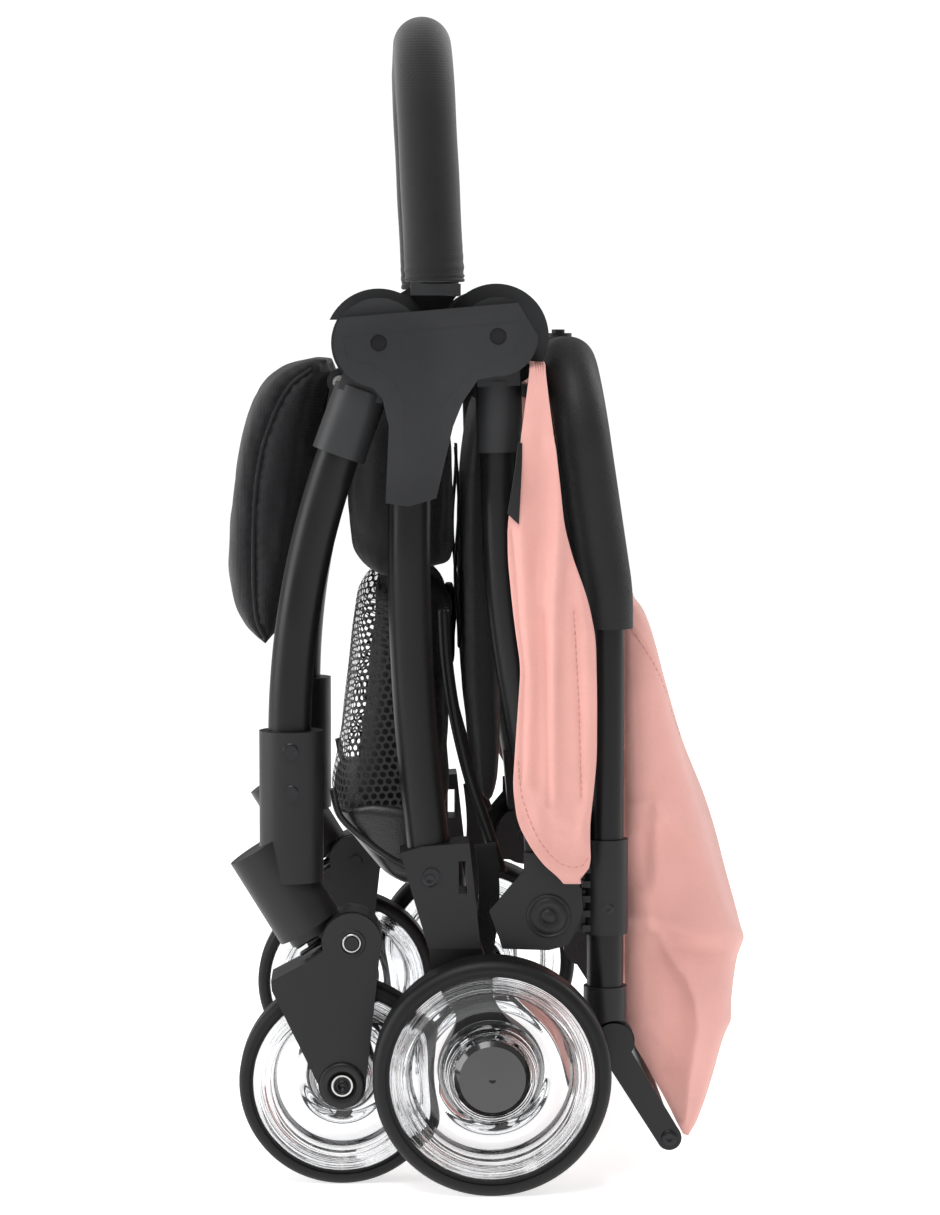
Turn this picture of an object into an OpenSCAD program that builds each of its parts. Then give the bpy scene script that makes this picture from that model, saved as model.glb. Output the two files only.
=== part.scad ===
// Compact baby stroller, folded and standing on its four wheels.
// X runs from the front of the stroller (-) to its rear (+), Y across it, Z up.
// Left is -Y. Side pieces are drawn once on +Y and mirrored.

/* [Frame tubes] */
// Distance of the frame tubes from the centre plane
tube_y = 180; // [160:1:210]
// Diameter of the front and rear leg tubes
leg_d = 26; // [22:0.5:28]
// Diameter of the lower push tubes
push_d = 24; // [20:0.5:25]
// Diameter of the upper push handle tube
handle_d = 22.5; // [19:0.5:24]
// Wall of every frame tube
tube_wall = 1.6; // [1:0.1:3]
// Depth of a tube in its socket
socket_depth = 28; // [20:1:30]

/* [Hub] */
// Front leg pivot, x and z
pivot_front = [-69, 513];
// Push tube pivot, x and z
pivot_push = [2.5, 517];
// Radius of the front lobe of the hub
lobe_front_r = 27; // [24:0.5:29]
// Radius of the rear lobe of the hub
lobe_push_r = 24; // [22:0.5:26]
// Diameter of the pivot pins
pin_d = 10; // [6:0.5:12]
// Thickness of the outer hub cover
cover_t = 9; // [5:0.5:12]
// Thickness of the inner hub plate
inner_plate_t = 8; // [4:0.5:9]

/* [Legs] */
// Lean of the front leg at its socket, degrees
front_lean = 20; // [16:1:22]
// Bend radius of the front leg
front_bend_r = 515; // [480:5:560]
// Lean of the rear leg at its foot, degrees
rear_lean = 7.5; // [5:0.5:9]
// Length of the bent part of the rear leg
rear_bend_len = 213; // [190:1:220]

/* [Front wheels] */
// Outer radius of a front wheel
front_wheel_r = 63; // [55:1:66]
// Width of a front tyre
front_tyre_w = 28; // [22:1:30]
// Front axle, x
front_axle_x = -92; // [-96:1:-88]
// Distance of the front wheels from the centre plane
front_wheel_y = 178; // [150:1:200]
// Lean of the caster's swivel axis, degrees
swivel_lean = 31.7; // [28:0.1:34]
// Diameter of the front axle
front_axle_d = 8; // [6:0.5:10]

/* [Rear wheels] */
// Outer radius of a rear wheel
rear_wheel_r = 72; // [66:1:76]
// Width of a rear tyre
rear_tyre_w = 32; // [26:1:34]
// Rear axle, x
rear_axle_x = -1.5; // [-5:0.5:3]
// Distance of the rear wheels from the centre plane
rear_wheel_y = 214; // [200:1:240]
// Diameter of the rear axle
rear_axle_d = 10; // [8:0.5:12]

/* [Push handle] */
// Folding hinge of the push handle, x and z
pivot_handle = [33.5, 166];
// Distance of the handle tube behind the folding hinge
handle_offset = 35.5; // [33:0.5:40]
// Height of the middle of the handle's crossbar
handle_top = 501; // [480:1:520]
// Outer diameter of the soft grip
grip_d = 33; // [30:0.5:36]
// Bend radius of the handle's corners
handle_corner_r = 48; // [40:1:60]
// Travel of the fold button
button_travel = 2.5; // [1:0.1:2.5]

/* [Carry bar] */
// Outer diameter of the carry bar's sleeve
sleeve_d = 35; // [30:0.5:37]
// Height of the middle of the carry bar's crossbar
carry_top = 695.5; // [650:0.5:760]
// Lean of the carry bar, degrees
carry_lean = 2.8; // [0:0.1:5]
// Bend radius of the carry bar's corners
carry_corner_r = 52; // [45:1:70]

/* [Soft parts] */
// Half width of the leg rest
leg_rest_half = 141; // [120:1:141]
// Half width of the seat, basket and canopy
seat_half = 148; // [130:1:150]
// Half width of the rear panel
panel_half = 158; // [130:1:160]
// Thickness of the canopy's side flap
flap_t = 4; // [2:0.5:6]

/* [Hidden] */
// Radial clearance of a running fit
run_fit = 0.05;
// Side gap between faces that move past each other
gap = 0.5;
// Middle of the finished part along x
centre_x = 1.5;
fine = 64;
layer_in = tube_y - leg_d / 2 - gap;
layer_out = tube_y + leg_d / 2 + gap + 0.5;
hub_out = layer_out + cover_t;
rear_wheel_z = rear_wheel_r;
front_wheel_z = front_wheel_r;
leg_foot_z = pivot_front[1] - 69 * cos(front_lean) - front_bend_r * sin(front_lean);
leg_foot_x = pivot_front[0] - 69 * sin(front_lean) - front_bend_r * (1 - cos(front_lean));
swivel_foot = [leg_foot_x + 11.7, leg_foot_z - 114.7];
arm_pivot = [front_axle_x + 6, front_wheel_z + 87];
handle_x = pivot_handle[0] + handle_offset;
knuckle = [handle_x + 5, 86.5];
leg_rest_hinge = [pivot_front[0] - 24, pivot_front[1] - 24];
canopy_hinge = [pivot_handle[0] + 17, pivot_handle[1] + 40];
flap_in = layer_out + 8.5;
cross_bar_d = 20;

// ---- helpers ----

// Puts a piece drawn on +Y on one side: -1 is left, 1 is right.
module on_side(side) {
    if (side < 0)
        mirror([0, 1, 0]) children();
    else
        children();
}

// Draws a piece on both sides.
module both_sides() {
    for (side = [-1, 1])
        on_side(side) children();
}

// Extrudes an outline drawn in x and z from y0 to y1.
module slab(y0, y1) {
    translate([0, y1, 0])
        rotate([90, 0, 0])
            linear_extrude(y1 - y0) children();
}

// A disc or pin about a point in x and z, from y0 to y1.
module disc(p, r, y0, y1) {
    translate([p[0], y0, p[1]])
        rotate([-90, 0, 0])
            cylinder(r = r, h = y1 - y0, $fn = fine);
}

// A turned piece about a point in x and z: its profile is [radius, y].
module turned(p) {
    translate([p[0], 0, p[1]])
        rotate([-90, 0, 0])
            rotate_extrude($fn = fine) children();
}

// Moves to a point in the side plane and leans +Z towards +X by an angle.
module stand(p, y, lean) {
    translate([p[0], y, p[1]])
        rotate([0, lean, 0]) children();
}

// A bend's wall is thicker than a straight's by this much inside and outside,
// and each straight runs into its bend by `tie`, so that the two become one tube.
swell = 0.05;
tie = 1;

// The wall of a tube as a flat ring.
module ring(outer, inner) {
    difference() {
        circle(r = outer, $fn = fine);
        circle(r = inner, $fn = fine);
    }
}

// A bend that starts upwards at the origin and turns towards -X.
module bend_back(bend_r, angle) {
    translate([-bend_r, 0, 0])
        rotate([90, 0, 0])
            rotate_extrude(angle = angle, $fn = 4 * fine)
                translate([bend_r, 0]) children();
}

// The same towards +X.
module bend(bend_r, angle) {
    rotate([0, 0, 180]) bend_back(bend_r, angle) children();
}

// Moves to the end of a bend towards +X, and towards -X.
module after_bend(bend_r, angle) {
    translate([bend_r, 0, 0])
        rotate([0, angle, 0])
            translate([-bend_r, 0, 0]) children();
}
module after_bend_back(bend_r, angle) {
    translate([-bend_r, 0, 0])
        rotate([0, -angle, 0])
            translate([bend_r, 0, 0]) children();
}

// ---- hub ----

// The outline of the hub: two lobes with a flat top, on a stem.
module hub_outline() {
    fx = pivot_front[0];
    fz = pivot_front[1];
    px = pivot_push[0];
    pz = pivot_push[1];
    intersection() {
        union() {
            translate(pivot_front) circle(r = lobe_front_r, $fn = fine);
            translate(pivot_push) circle(r = lobe_push_r, $fn = fine);
            polygon([
                [fx - 4, fz + lobe_front_r], [px + 4, pz + lobe_push_r],
                [px + 3, pz - lobe_push_r + 1], [px - 12, pz - 26],
                [px - 21, pz - 39], [px - 27, pz - 54], [px - 37, pz - 97],
                [fx + 18, fz - 98], [fx + 4, fz - 96], [fx + 6, fz - 50],
                [fx + 2, fz - 33], [fx - 4, fz - lobe_front_r + 0.5],
            ]);
        }
        polygon([
            [fx - 23, fz + 15], [px + 12, pz + 20], [px + 60, pz - 60],
            [px, pz - 120], [fx - 60, fz - 120], [fx - 60, fz],
        ]);
    }
}

// The thick part of the hub between the two sockets.
module hub_stem_outline() {
    fx = pivot_front[0];
    fz = pivot_front[1];
    px = pivot_push[0];
    pz = pivot_push[1];
    polygon([
        [fx + 4, fz - 96], [fx + 18, fz - 98], [px - 37, pz - 97],
        [px - 27, pz - 54], [px - 22, pz - 39], [px - 25, pz - 17],
        [fx + 27, fz - 13], [fx + 25, fz - 25], [fx + 11, fz - 29],
        [fx + 6, fz - 34], [fx + 6, fz - 50],
    ]);
}

// The groove that holds the inlaid panel.
module inlay_outline() {
    fx = pivot_front[0];
    fz = pivot_front[1];
    px = pivot_push[0];
    pz = pivot_push[1];
    polygon([
        [fx - 21, fz + 4], [fx - 19, fz - 10], [fx - 4, fz - 13],
        [fx + 8, fz - 21], [fx + 15, fz - 36], [fx + 15, fz - 60],
        [px - 41, pz - 64], [px - 36, pz - 46], [px - 22, pz - 28],
        [px - 6, pz - 16], [px + 14, pz - 6], [px + 17, pz + 2], [px + 14, pz + 9],
    ]);
}

// The part of the rear leg's line that a socket or a bore follows.
rear_top = [pivot_front[0] + 18.4, pivot_front[1] - 98];
rear_bend_r = rear_bend_len / ((rear_lean + 1) * PI / 180);

module hub(side) {
    color("#26262a") on_side(side)
        difference() {
            union() {
                slab(layer_out, hub_out) hub_outline();
                slab(layer_in, layer_out + 1) hub_stem_outline();
            }
            slab(hub_out - 1.5, hub_out + 1) inlay_outline();
            disc(pivot_front, pin_d / 2 + run_fit, layer_in - 1, hub_out + 1);
            disc(pivot_push, pin_d / 2 + run_fit, layer_in - 1, hub_out + 1);
            stand(rear_top, tube_y, 1)
                translate([0, 0, -10])
                    cylinder(r = leg_d / 2 + run_fit, h = socket_depth + 10, $fn = fine);
        }
}

module hub_inner_plates() {
    color("#202024") both_sides()
        difference() {
            union() {
                disc(pivot_front, lobe_front_r + 2, layer_in - gap - inner_plate_t, layer_in - gap);
                // Above the pivot the plate is larger; below, the leg rest's rod swings past.
                slab(layer_in - gap - inner_plate_t, layer_in - gap)
                    intersection() {
                        translate(pivot_front) circle(r = lobe_front_r + 6, $fn = fine);
                        translate([pivot_front[0] - 60, pivot_front[1] + 14]) square([120, 60]);
                    }
                disc(pivot_push, lobe_push_r + 8, layer_in - gap - inner_plate_t, layer_in - gap);
                slab(layer_in - gap - inner_plate_t, layer_in - gap) hub_stem_outline();
            }
            disc(pivot_front, pin_d / 2 + run_fit, 0, hub_out);
            disc(pivot_push, pin_d / 2 + run_fit, 0, hub_out);
        }
}

module hub_inlays() {
    color("#303034") both_sides()
        difference() {
            slab(hub_out - 1.5, hub_out - 0.2) inlay_outline();
            disc(pivot_front, pin_d / 2 + run_fit, 0, hub_out + 1);
            disc(pivot_push, pin_d / 2 + run_fit, 0, hub_out + 1);
        }
}

module hub_pins() {
    color("#8c8c90") both_sides() {
        disc(pivot_front, pin_d / 2, layer_in - gap - inner_plate_t - 15, hub_out - 2);
        disc(pivot_push, pin_d / 2, layer_in - gap - inner_plate_t - 2, hub_out - 2);
    }
}

// ---- rear frame ----

// The rear leg's foot, at the lower end of its bend.
rear_foot = [
    rear_top[0] + rear_bend_r * (cos(1) - cos(rear_lean)),
    rear_top[1] - rear_bend_r * (sin(rear_lean) + sin(1)),
];

module rear_leg(side) {
    color("#1f1f22") on_side(side)
        stand(rear_foot, tube_y, -rear_lean) {
            translate([0, 0, -socket_depth])
                linear_extrude(socket_depth + tie) ring(leg_d / 2, leg_d / 2 - tube_wall);
            bend(rear_bend_r, rear_lean + 1)
                ring(leg_d / 2 + swell, leg_d / 2 - tube_wall - swell);
            after_bend(rear_bend_r, rear_lean + 1)
                translate([0, 0, -tie])
                    linear_extrude(socket_depth - 1 + tie)
                        ring(leg_d / 2, leg_d / 2 - tube_wall);
        }
}

module rear_casting(side) {
    ax = rear_axle_x;
    az = rear_wheel_z;
    inner = tube_y - leg_d / 2 - 4;
    outer = rear_wheel_y - rear_tyre_w / 2 - 1.5;
    color("#2a2a2e") on_side(side)
        difference() {
            union() {
                slab(inner, outer)
                    polygon([
                        [rear_foot[0] - 18, rear_foot[1] + 2], [rear_foot[0] - 4, rear_foot[1] + 6],
                        [rear_foot[0] + 24, rear_foot[1] + 8], [rear_foot[0] + 27, rear_foot[1] - 20],
                        [ax - 6, az + 74], [ax - 38, az + 74],
                    ]);
                slab(inner, outer - 4)
                    polygon([
                        [ax - 38, az + 76], [ax - 6, az + 76], [ax + 2, az + 50],
                        [ax + 14, az + 6], [ax - 14, az - 6], [ax - 22, az + 34],
                        [ax - 36, az + 58],
                    ]);
                disc([ax, az], 15, inner, outer);
            }
            stand(rear_foot, tube_y, -rear_lean)
                translate([0, 0, -socket_depth])
                    cylinder(r = leg_d / 2 + run_fit, h = 2 * socket_depth, $fn = fine);
            disc([ax, az], rear_axle_d / 2 + run_fit, inner - 1, outer + 1);
            translate([rear_foot[0] + 20, tube_y, rear_foot[1] - 13])
                cube([5, 60, 20], center = true);
            disc([ax - 20, az + 78], cross_bar_d / 2 + run_fit, inner - 1, inner + 10);
        }
}

module rear_cross_bar() {
    end = tube_y - leg_d / 2 - 4 + 9;
    color("#1f1f22")
        translate([rear_axle_x - 20, end, rear_wheel_z + 78])
            rotate([90, 0, 0])
                linear_extrude(2 * end) ring(cross_bar_d / 2, cross_bar_d / 2 - tube_wall);
}

module rear_axles() {
    color("#9a9a9e") both_sides()
        disc([rear_axle_x, rear_wheel_z], rear_axle_d / 2, tube_y - leg_d / 2 - 5,
            rear_wheel_y + 11);
}

module rear_rivets() {
    color("#3a3a3e") both_sides()
        disc([rear_foot[0] + 1, rear_foot[1] - 12], 4.8,
            rear_wheel_y - rear_tyre_w / 2 - 1.5, rear_wheel_y - rear_tyre_w / 2 - 0.3);
}

module brake_pedal() {
    bar = [rear_axle_x - 20, rear_wheel_z + 78];
    color("#2a2a2e")
        difference() {
            union() {
                disc(bar, cross_bar_d / 2 + 4, -130, -75);
                slab(-130, -75)
                    polygon([
                        [bar[0] + 4, bar[1] + 3], [bar[0] + 46, bar[1] + 12],
                        [bar[0] + 50, bar[1] + 8], [bar[0] + 8, bar[1] - 10],
                    ]);
            }
            disc(bar, cross_bar_d / 2 + run_fit, -131, -74);
        }
}

// ---- front frame ----

module front_leg(side) {
    color("#1f1f22") on_side(side)
        translate([leg_foot_x, tube_y, leg_foot_z]) {
            translate([0, 0, -socket_depth])
                linear_extrude(socket_depth + tie) ring(leg_d / 2, leg_d / 2 - tube_wall);
            bend(front_bend_r, front_lean)
                ring(leg_d / 2 + swell, leg_d / 2 - tube_wall - swell);
            after_bend(front_bend_r, front_lean)
                translate([0, 0, -tie])
                    linear_extrude(socket_depth + tie)
                        ring(leg_d / 2, leg_d / 2 - tube_wall);
        }
}

module front_socket(side) {
    color("#2a2a2e") on_side(side)
        difference() {
            union() {
                disc(pivot_front, lobe_front_r, layer_in, layer_out - gap);
                stand(pivot_front, tube_y, 180 + front_lean) {
                    translate([-14, -leg_d / 2, 0])
                        cube([28, leg_d, 34]);
                    translate([0, 0, lobe_front_r + 3])
                        cylinder(r = leg_d / 2 + 3.5, h = 42, $fn = fine);
                }
            }
            stand(pivot_front, tube_y, 180 + front_lean)
                translate([0, 0, 69 - socket_depth])
                    cylinder(r = leg_d / 2 + run_fit, h = socket_depth + 10, $fn = fine);
            disc(pivot_front, pin_d / 2 + run_fit, 0, hub_out + 1);
            disc(leg_rest_hinge, 4 + run_fit, 0, tube_y - 14);
        }
}

module front_casting(side) {
    color("#2a2a2e") on_side(side)
        difference() {
            union() {
                translate([leg_foot_x + 1, tube_y, leg_foot_z - 86])
                    cylinder(r = 19.5, h = 92, $fn = fine);
                stand(swivel_foot, front_wheel_y, -swivel_lean)
                    cylinder(r = 20.5, h = 58, $fn = fine);
            }
            translate([leg_foot_x, tube_y, leg_foot_z - socket_depth])
                cylinder(r = leg_d / 2 + run_fit, h = 60, $fn = fine);
            stand(swivel_foot, front_wheel_y, -swivel_lean)
                translate([0, 0, -1])
                    cylinder(r = 6 + run_fit, h = 42, $fn = fine);
            stand(swivel_foot, front_wheel_y, -swivel_lean)
                translate([-40, -40, -40])
                    cube([80, 80, 40]);
            disc([leg_foot_x + 1, leg_foot_z - 42], cross_bar_d / 2 + run_fit,
                tube_y - 30, tube_y - 12);
        }
}

module front_cross_bar() {
    end = tube_y - 13;
    color("#1f1f22")
        translate([leg_foot_x + 1, end, leg_foot_z - 42])
            rotate([90, 0, 0])
                linear_extrude(2 * end) ring(cross_bar_d / 2, cross_bar_d / 2 - tube_wall);
}

module front_rivets() {
    color("#3a3a3e") both_sides()
        for (drop = [6, 31])
            disc([leg_foot_x + 1, leg_foot_z - drop], 4.5, tube_y + 19.5, tube_y + 20.7);
}

// ---- leg rest ----

module leg_rest_rod() {
    color("#9a9a9e")
        disc(leg_rest_hinge, 4, -(tube_y - 14.5), tube_y - 14.5);
}

module leg_rest_board() {
    hx = leg_rest_hinge[0];
    hz = leg_rest_hinge[1];
    color("#1a1a1c")
        difference() {
            union() {
                disc(leg_rest_hinge, 8, -leg_rest_half + 8, leg_rest_half - 8);
                slab(-leg_rest_half + 8, leg_rest_half - 8)
                    polygon([
                        [hx - 6, hz - 2], [hx - 2, hz - 7], [hx - 13, hz - 60],
                        [hx - 20, hz - 110], [hx - 32, hz - 152], [hx - 36, hz - 151],
                        [hx - 24, hz - 108], [hx - 17, hz - 58],
                    ]);
            }
            disc(leg_rest_hinge, 4 + run_fit, -leg_rest_half, leg_rest_half);
        }
}

module leg_rest_pad() {
    hx = leg_rest_hinge[0];
    hz = leg_rest_hinge[1];
    color("#1c1c1f")
        slab(-leg_rest_half, leg_rest_half)
            polygon([
                [hx - 4, hz + 22], [hx - 24, hz + 17], [hx - 40, hz + 8],
                [hx - 52, hz - 10], [hx - 60, hz - 35], [hx - 65, hz - 60],
                [hx - 67, hz - 84], [hx - 67.5, hz - 108], [hx - 65, hz - 133],
                [hx - 58, hz - 152], [hx - 46, hz - 167], [hx - 36, hz - 160],
                [hx - 37.5, hz - 150], [hx - 25.5, hz - 107], [hx - 18.5, hz - 57],
                [hx - 9.5, hz - 6], [hx - 9.5, hz + 6], [hx - 3, hz + 12],
            ]);
}

// ---- front forks ----

module fork(side) {
    color("#2a2a2e") on_side(side)
        difference() {
            union() {
                stand(swivel_foot, front_wheel_y, -swivel_lean) {
                    translate([0, 0, -5.5])
                        cylinder(r = front_tyre_w / 2 + 1.5, h = 5, $fn = fine);
                    translate([0, 0, -1])
                        cylinder(r = 6, h = 40, $fn = fine);
                    translate([3, -13, -18])
                        cube([15, 26, 14]);
                }
                disc(arm_pivot, 18.5, front_wheel_y - front_tyre_w / 2 - 1,
                    front_wheel_y + front_tyre_w / 2 + 1);
            }
            disc(arm_pivot, front_axle_d / 2 + run_fit, 0, 300);
            stand(swivel_foot, front_wheel_y, -swivel_lean)
                difference() {
                    translate([-60, -60, -0.5])
                        cube([120, 120, 30]);
                    translate([0, 0, -5])
                        cylinder(r = 6, h = 60, $fn = fine);
                }
        }
}

// The side of the swing arm, a plate from its pivot to the axle.
module swing_arm_outline() {
    translate(arm_pivot) circle(r = 18, $fn = fine);
    translate([front_axle_x, front_wheel_z]) circle(r = 14.5, $fn = fine);
    polygon([
        [arm_pivot[0] + 18, arm_pivot[1] + 2], [front_axle_x + 14.4, front_wheel_z],
        [front_axle_x - 14.4, front_wheel_z], [front_axle_x - 42.5, front_wheel_z + 58],
        [front_axle_x - 43, front_wheel_z + 64], [front_axle_x - 20, front_wheel_z + 76],
        [arm_pivot[0] - 8, arm_pivot[1] + 2],
    ]);
}

module swing_arm(side) {
    inner = front_wheel_y - front_tyre_w / 2 - 2;
    outer = front_wheel_y + front_tyre_w / 2 + 2;
    color("#2a2a2e") on_side(side)
        difference() {
            union() {
                slab(inner - 5, inner) swing_arm_outline();
                slab(outer, outer + 5) swing_arm_outline();
                slab(inner - 1, outer + 1)
                    difference() {
                        swing_arm_outline();
                        translate([front_axle_x, front_wheel_z])
                            circle(r = front_wheel_r + 3, $fn = fine);
                        translate(arm_pivot)
                            circle(r = 19.5, $fn = fine);
                        translate(arm_pivot)
                            translate([-17, -60])
                                square([60, 120]);
                    }
                disc(arm_pivot, front_axle_d / 2, inner - 7, outer + 7);
            }
            disc([front_axle_x, front_wheel_z], front_axle_d / 2 + run_fit, 0, 300);
        }
}

module front_axle(side) {
    inner = front_wheel_y - front_tyre_w / 2 - 7;
    outer = front_wheel_y + front_tyre_w / 2 + 7;
    p = [front_axle_x, front_wheel_z];
    color("#9a9a9e") on_side(side) {
        disc(p, front_axle_d / 2, inner - 0.1, outer + 0.1);
        disc(p, front_axle_d / 2 + 2.5, outer + 0.1, outer + 2.6);
        disc(p, front_axle_d / 2 + 2.5, inner - 3, inner - 0.1);
    }
}

// ---- wheels ----

// The profile of a tyre: a ring with a round tread.
module tyre_profile(r_out, r_in, width, y) {
    crown = (r_out - r_in) * 0.62;
    translate([r_in, y - width / 2 + 2])
        square([r_out - r_in - crown, width - 4]);
    for (side = [-1, 1])
        translate([r_out - crown, y + side * (width / 2 - crown)])
            intersection() {
                circle(r = crown, $fn = fine);
                translate([-crown * 0.2, -2 * crown])
                    square([2 * crown, 4 * crown]);
            }
    translate([r_out - crown * 1.2, y - width / 2 + crown])
        square([crown * 1.2, width - 2 * crown]);
}

module front_rim(side) {
    color([0.92, 0.95, 0.97, 0.5]) on_side(side)
        turned([front_axle_x, front_wheel_z]) {
            translate([front_wheel_r - 19, front_wheel_y - 11])
                square([10.3, 22]);
            translate([9, front_wheel_y - 1.5])
                square([front_wheel_r - 19 - 8.5, 3]);
            translate([front_axle_d / 2 + run_fit, front_wheel_y - front_tyre_w / 2])
                square([6, front_tyre_w]);
        }
}

module front_tyre(side) {
    color("#1b1b1c") on_side(side)
        turned([front_axle_x, front_wheel_z])
            tyre_profile(front_wheel_r, front_wheel_r - 8.6, front_tyre_w, front_wheel_y);
}

module rear_rim(side) {
    color([0.92, 0.95, 0.97, 0.5]) on_side(side)
        turned([rear_axle_x, rear_wheel_z]) {
            translate([rear_wheel_r - 20.5, rear_wheel_y - 12])
                square([10.3, 24]);
            translate([13, rear_wheel_y - 1.5])
                square([rear_wheel_r - 20.5 - 12.5, 3]);
            translate([rear_axle_d / 2 + run_fit, rear_wheel_y - rear_tyre_w / 2])
                square([9, rear_tyre_w - 6]);
        }
}

module rear_tyre(side) {
    color("#1b1b1c") on_side(side)
        turned([rear_axle_x, rear_wheel_z])
            tyre_profile(rear_wheel_r, rear_wheel_r - 10.1, rear_tyre_w, rear_wheel_y);
}

module rear_cap(side) {
    color("#3a3330") on_side(side)
        turned([rear_axle_x, rear_wheel_z])
            polygon([
                [0, rear_wheel_y + 12], [14.5, rear_wheel_y + 12],
                [14.5, rear_wheel_y + 1.7], [22.5, rear_wheel_y + 1.7],
                [23, rear_wheel_y + 13], [20, rear_wheel_y + 16], [0, rear_wheel_y + 17],
            ]);
}

// ---- lower push frame ----

push_lean = 1.5;
push_bend = 8.5;
push_bend_r = 607;
push_straight = 117;
push_low = 140;

module push_tube(side) {
    color("#1f1f22") on_side(side)
        stand(pivot_push, tube_y, 180 - push_lean) {
            translate([0, 0, 68 - socket_depth])
                linear_extrude(push_straight - 68 + socket_depth + tie)
                    ring(push_d / 2, push_d / 2 - tube_wall);
            translate([0, 0, push_straight]) {
                bend_back(push_bend_r, push_bend)
                    ring(push_d / 2 + swell, push_d / 2 - tube_wall - swell);
                after_bend_back(push_bend_r, push_bend)
                    translate([0, 0, -tie])
                        linear_extrude(push_low - 20 + tie)
                            ring(push_d / 2, push_d / 2 - tube_wall);
            }
        }
}

module push_sockets() {
    color("#2a2a2e") both_sides()
        difference() {
            union() {
                disc(pivot_push, lobe_push_r - 0.5, layer_in, layer_out - gap);
                stand(pivot_push, tube_y, 180 - push_lean) {
                    translate([-13, -leg_d / 2, 0])
                        cube([26, leg_d, 30]);
                    translate([0, 0, lobe_push_r + 3])
                        cylinder(r = push_d / 2 + 2, h = 43, $fn = fine);
                }
            }
            stand(pivot_push, tube_y, 180 - push_lean)
                translate([0, 0, 68 - socket_depth])
                    cylinder(r = push_d / 2 + run_fit, h = socket_depth + 10, $fn = fine);
            disc(pivot_push, pin_d / 2 + run_fit, 0, hub_out + 1);
        }
}

module hinge_housing(side) {
    hx = pivot_handle[0];
    hz = pivot_handle[1];
    color("#2c2c30") on_side(side)
        difference() {
            union() {
                disc(pivot_handle, 20, tube_y - 12.5, tube_y - 6.5);
                disc(pivot_handle, 20, tube_y + 6.5, tube_y + 14.7);
                slab(tube_y + 14.5, tube_y + 17.5)
                    polygon([
                        [hx - 15, hz + 39], [hx + 10, hz + 36], [hx + 20, hz + 16],
                        [hx + 21, hz + 2], [hx + 12, hz - 18], [hx, hz - 21],
                        [hx - 28, hz - 20], [hx - 36, hz + 3], [hx - 15, hz + 28],
                    ]);
                slab(tube_y - 12.5, tube_y + 14.7)
                    polygon([
                        [hx - 15.5, hz + 60], [hx + 10, hz + 64], [hx + 16, hz + 24],
                        [hx + 10, hz + 19], [hx - 12, hz + 19],
                    ]);
            }
            slab(tube_y - 6.5, tube_y + 6.5)
                translate(pivot_handle) circle(r = 19.5, $fn = fine);
            disc(pivot_handle, pin_d / 2 + run_fit, 0, 300);
            stand(pivot_push, tube_y, 180 - push_lean)
                translate([0, 0, push_straight])
                    after_bend_back(push_bend_r, push_bend)
                        cylinder(r = push_d / 2 + run_fit, h = push_low - 20 + run_fit,
                            $fn = fine);
        }
}

module hinge_pins() {
    color("#8c8c90") both_sides()
        disc(pivot_handle, pin_d / 2, tube_y - 13, tube_y + 18.5);
}

module seat_back() {
    px = pivot_push[0];
    pz = pivot_push[1];
    color("#1c1c1f")
        slab(-seat_half, seat_half)
            polygon([
                [px - 14, pz - 40], [px - 4, pz - 40], [px + 0, pz - 90],
                [px + 2, pz - 140], [px + 3, pz - 185], [px + 6, pz - 215],
                [px + 4, pz - 290], [px - 10, pz - 292], [px - 16, pz - 220],
                [px - 18, pz - 120],
            ]);
}

module harness() {
    px = pivot_push[0];
    pz = pivot_push[1];
    color("#151517") {
        for (y = [-60, 30])
            translate([px - 22, y, pz - 200])
                cube([2, 30, 130]);
        translate([px - 29.5, -24, pz - 215])
            cube([7.5, 48, 55]);
    }
}

// ---- upper push handle ----

bend_z = 350;
bend_out = 8.5;
bend_out_r = 150;
// Length of the leaning side above its bend.
side_len = (handle_top - handle_corner_r - bend_z - bend_out_r * sin(bend_out)) / cos(bend_out);

// A tube up one side of the handle from a height, and round its corner.
module handle_side(from_z, outer, inner) {
    translate([handle_x, tube_y, bend_z]) {
        translate([0, 0, from_z - bend_z])
            linear_extrude(bend_z - from_z + tie) ring(outer, inner);
        bend_back(bend_out_r, bend_out) ring(outer + swell, inner - swell);
        after_bend_back(bend_out_r, bend_out) {
            translate([0, 0, -tie])
                linear_extrude(side_len + 2 * tie) ring(outer, inner);
            translate([0, 0, side_len])
                rotate([0, 0, -90])
                    bend(handle_corner_r, 90) ring(outer + swell, inner - swell);
        }
    }
}

// The middle of the handle's crossbar, in x and z.
bar_mid = [
    handle_x - bend_out_r * (1 - cos(bend_out))
        - (side_len + handle_corner_r) * sin(bend_out),
    bend_z + bend_out_r * sin(bend_out) + (side_len + handle_corner_r) * cos(bend_out),
];

// The handle's crossbar from one y to another.
module handle_cross(from_y, to_y, outer, inner) {
    translate([bar_mid[0], from_y, bar_mid[1]])
        rotate([-90, 0, 0])
            linear_extrude(to_y - from_y) ring(outer, inner);
}

module handle_bar() {
    end = tube_y - handle_corner_r + tie;
    color("#1f1f22") {
        both_sides()
            handle_side(103, handle_d / 2, handle_d / 2 - tube_wall);
        handle_cross(-end, end, handle_d / 2, handle_d / 2 - tube_wall);
    }
}

module handle_grips() {
    hole = handle_d / 2 + 2 * swell + run_fit;
    color("#17171a") both_sides() {
        handle_side(bend_z - 10, grip_d / 2, hole);
        handle_cross(30, tube_y - handle_corner_r + tie, grip_d / 2, hole);
    }
}

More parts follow.
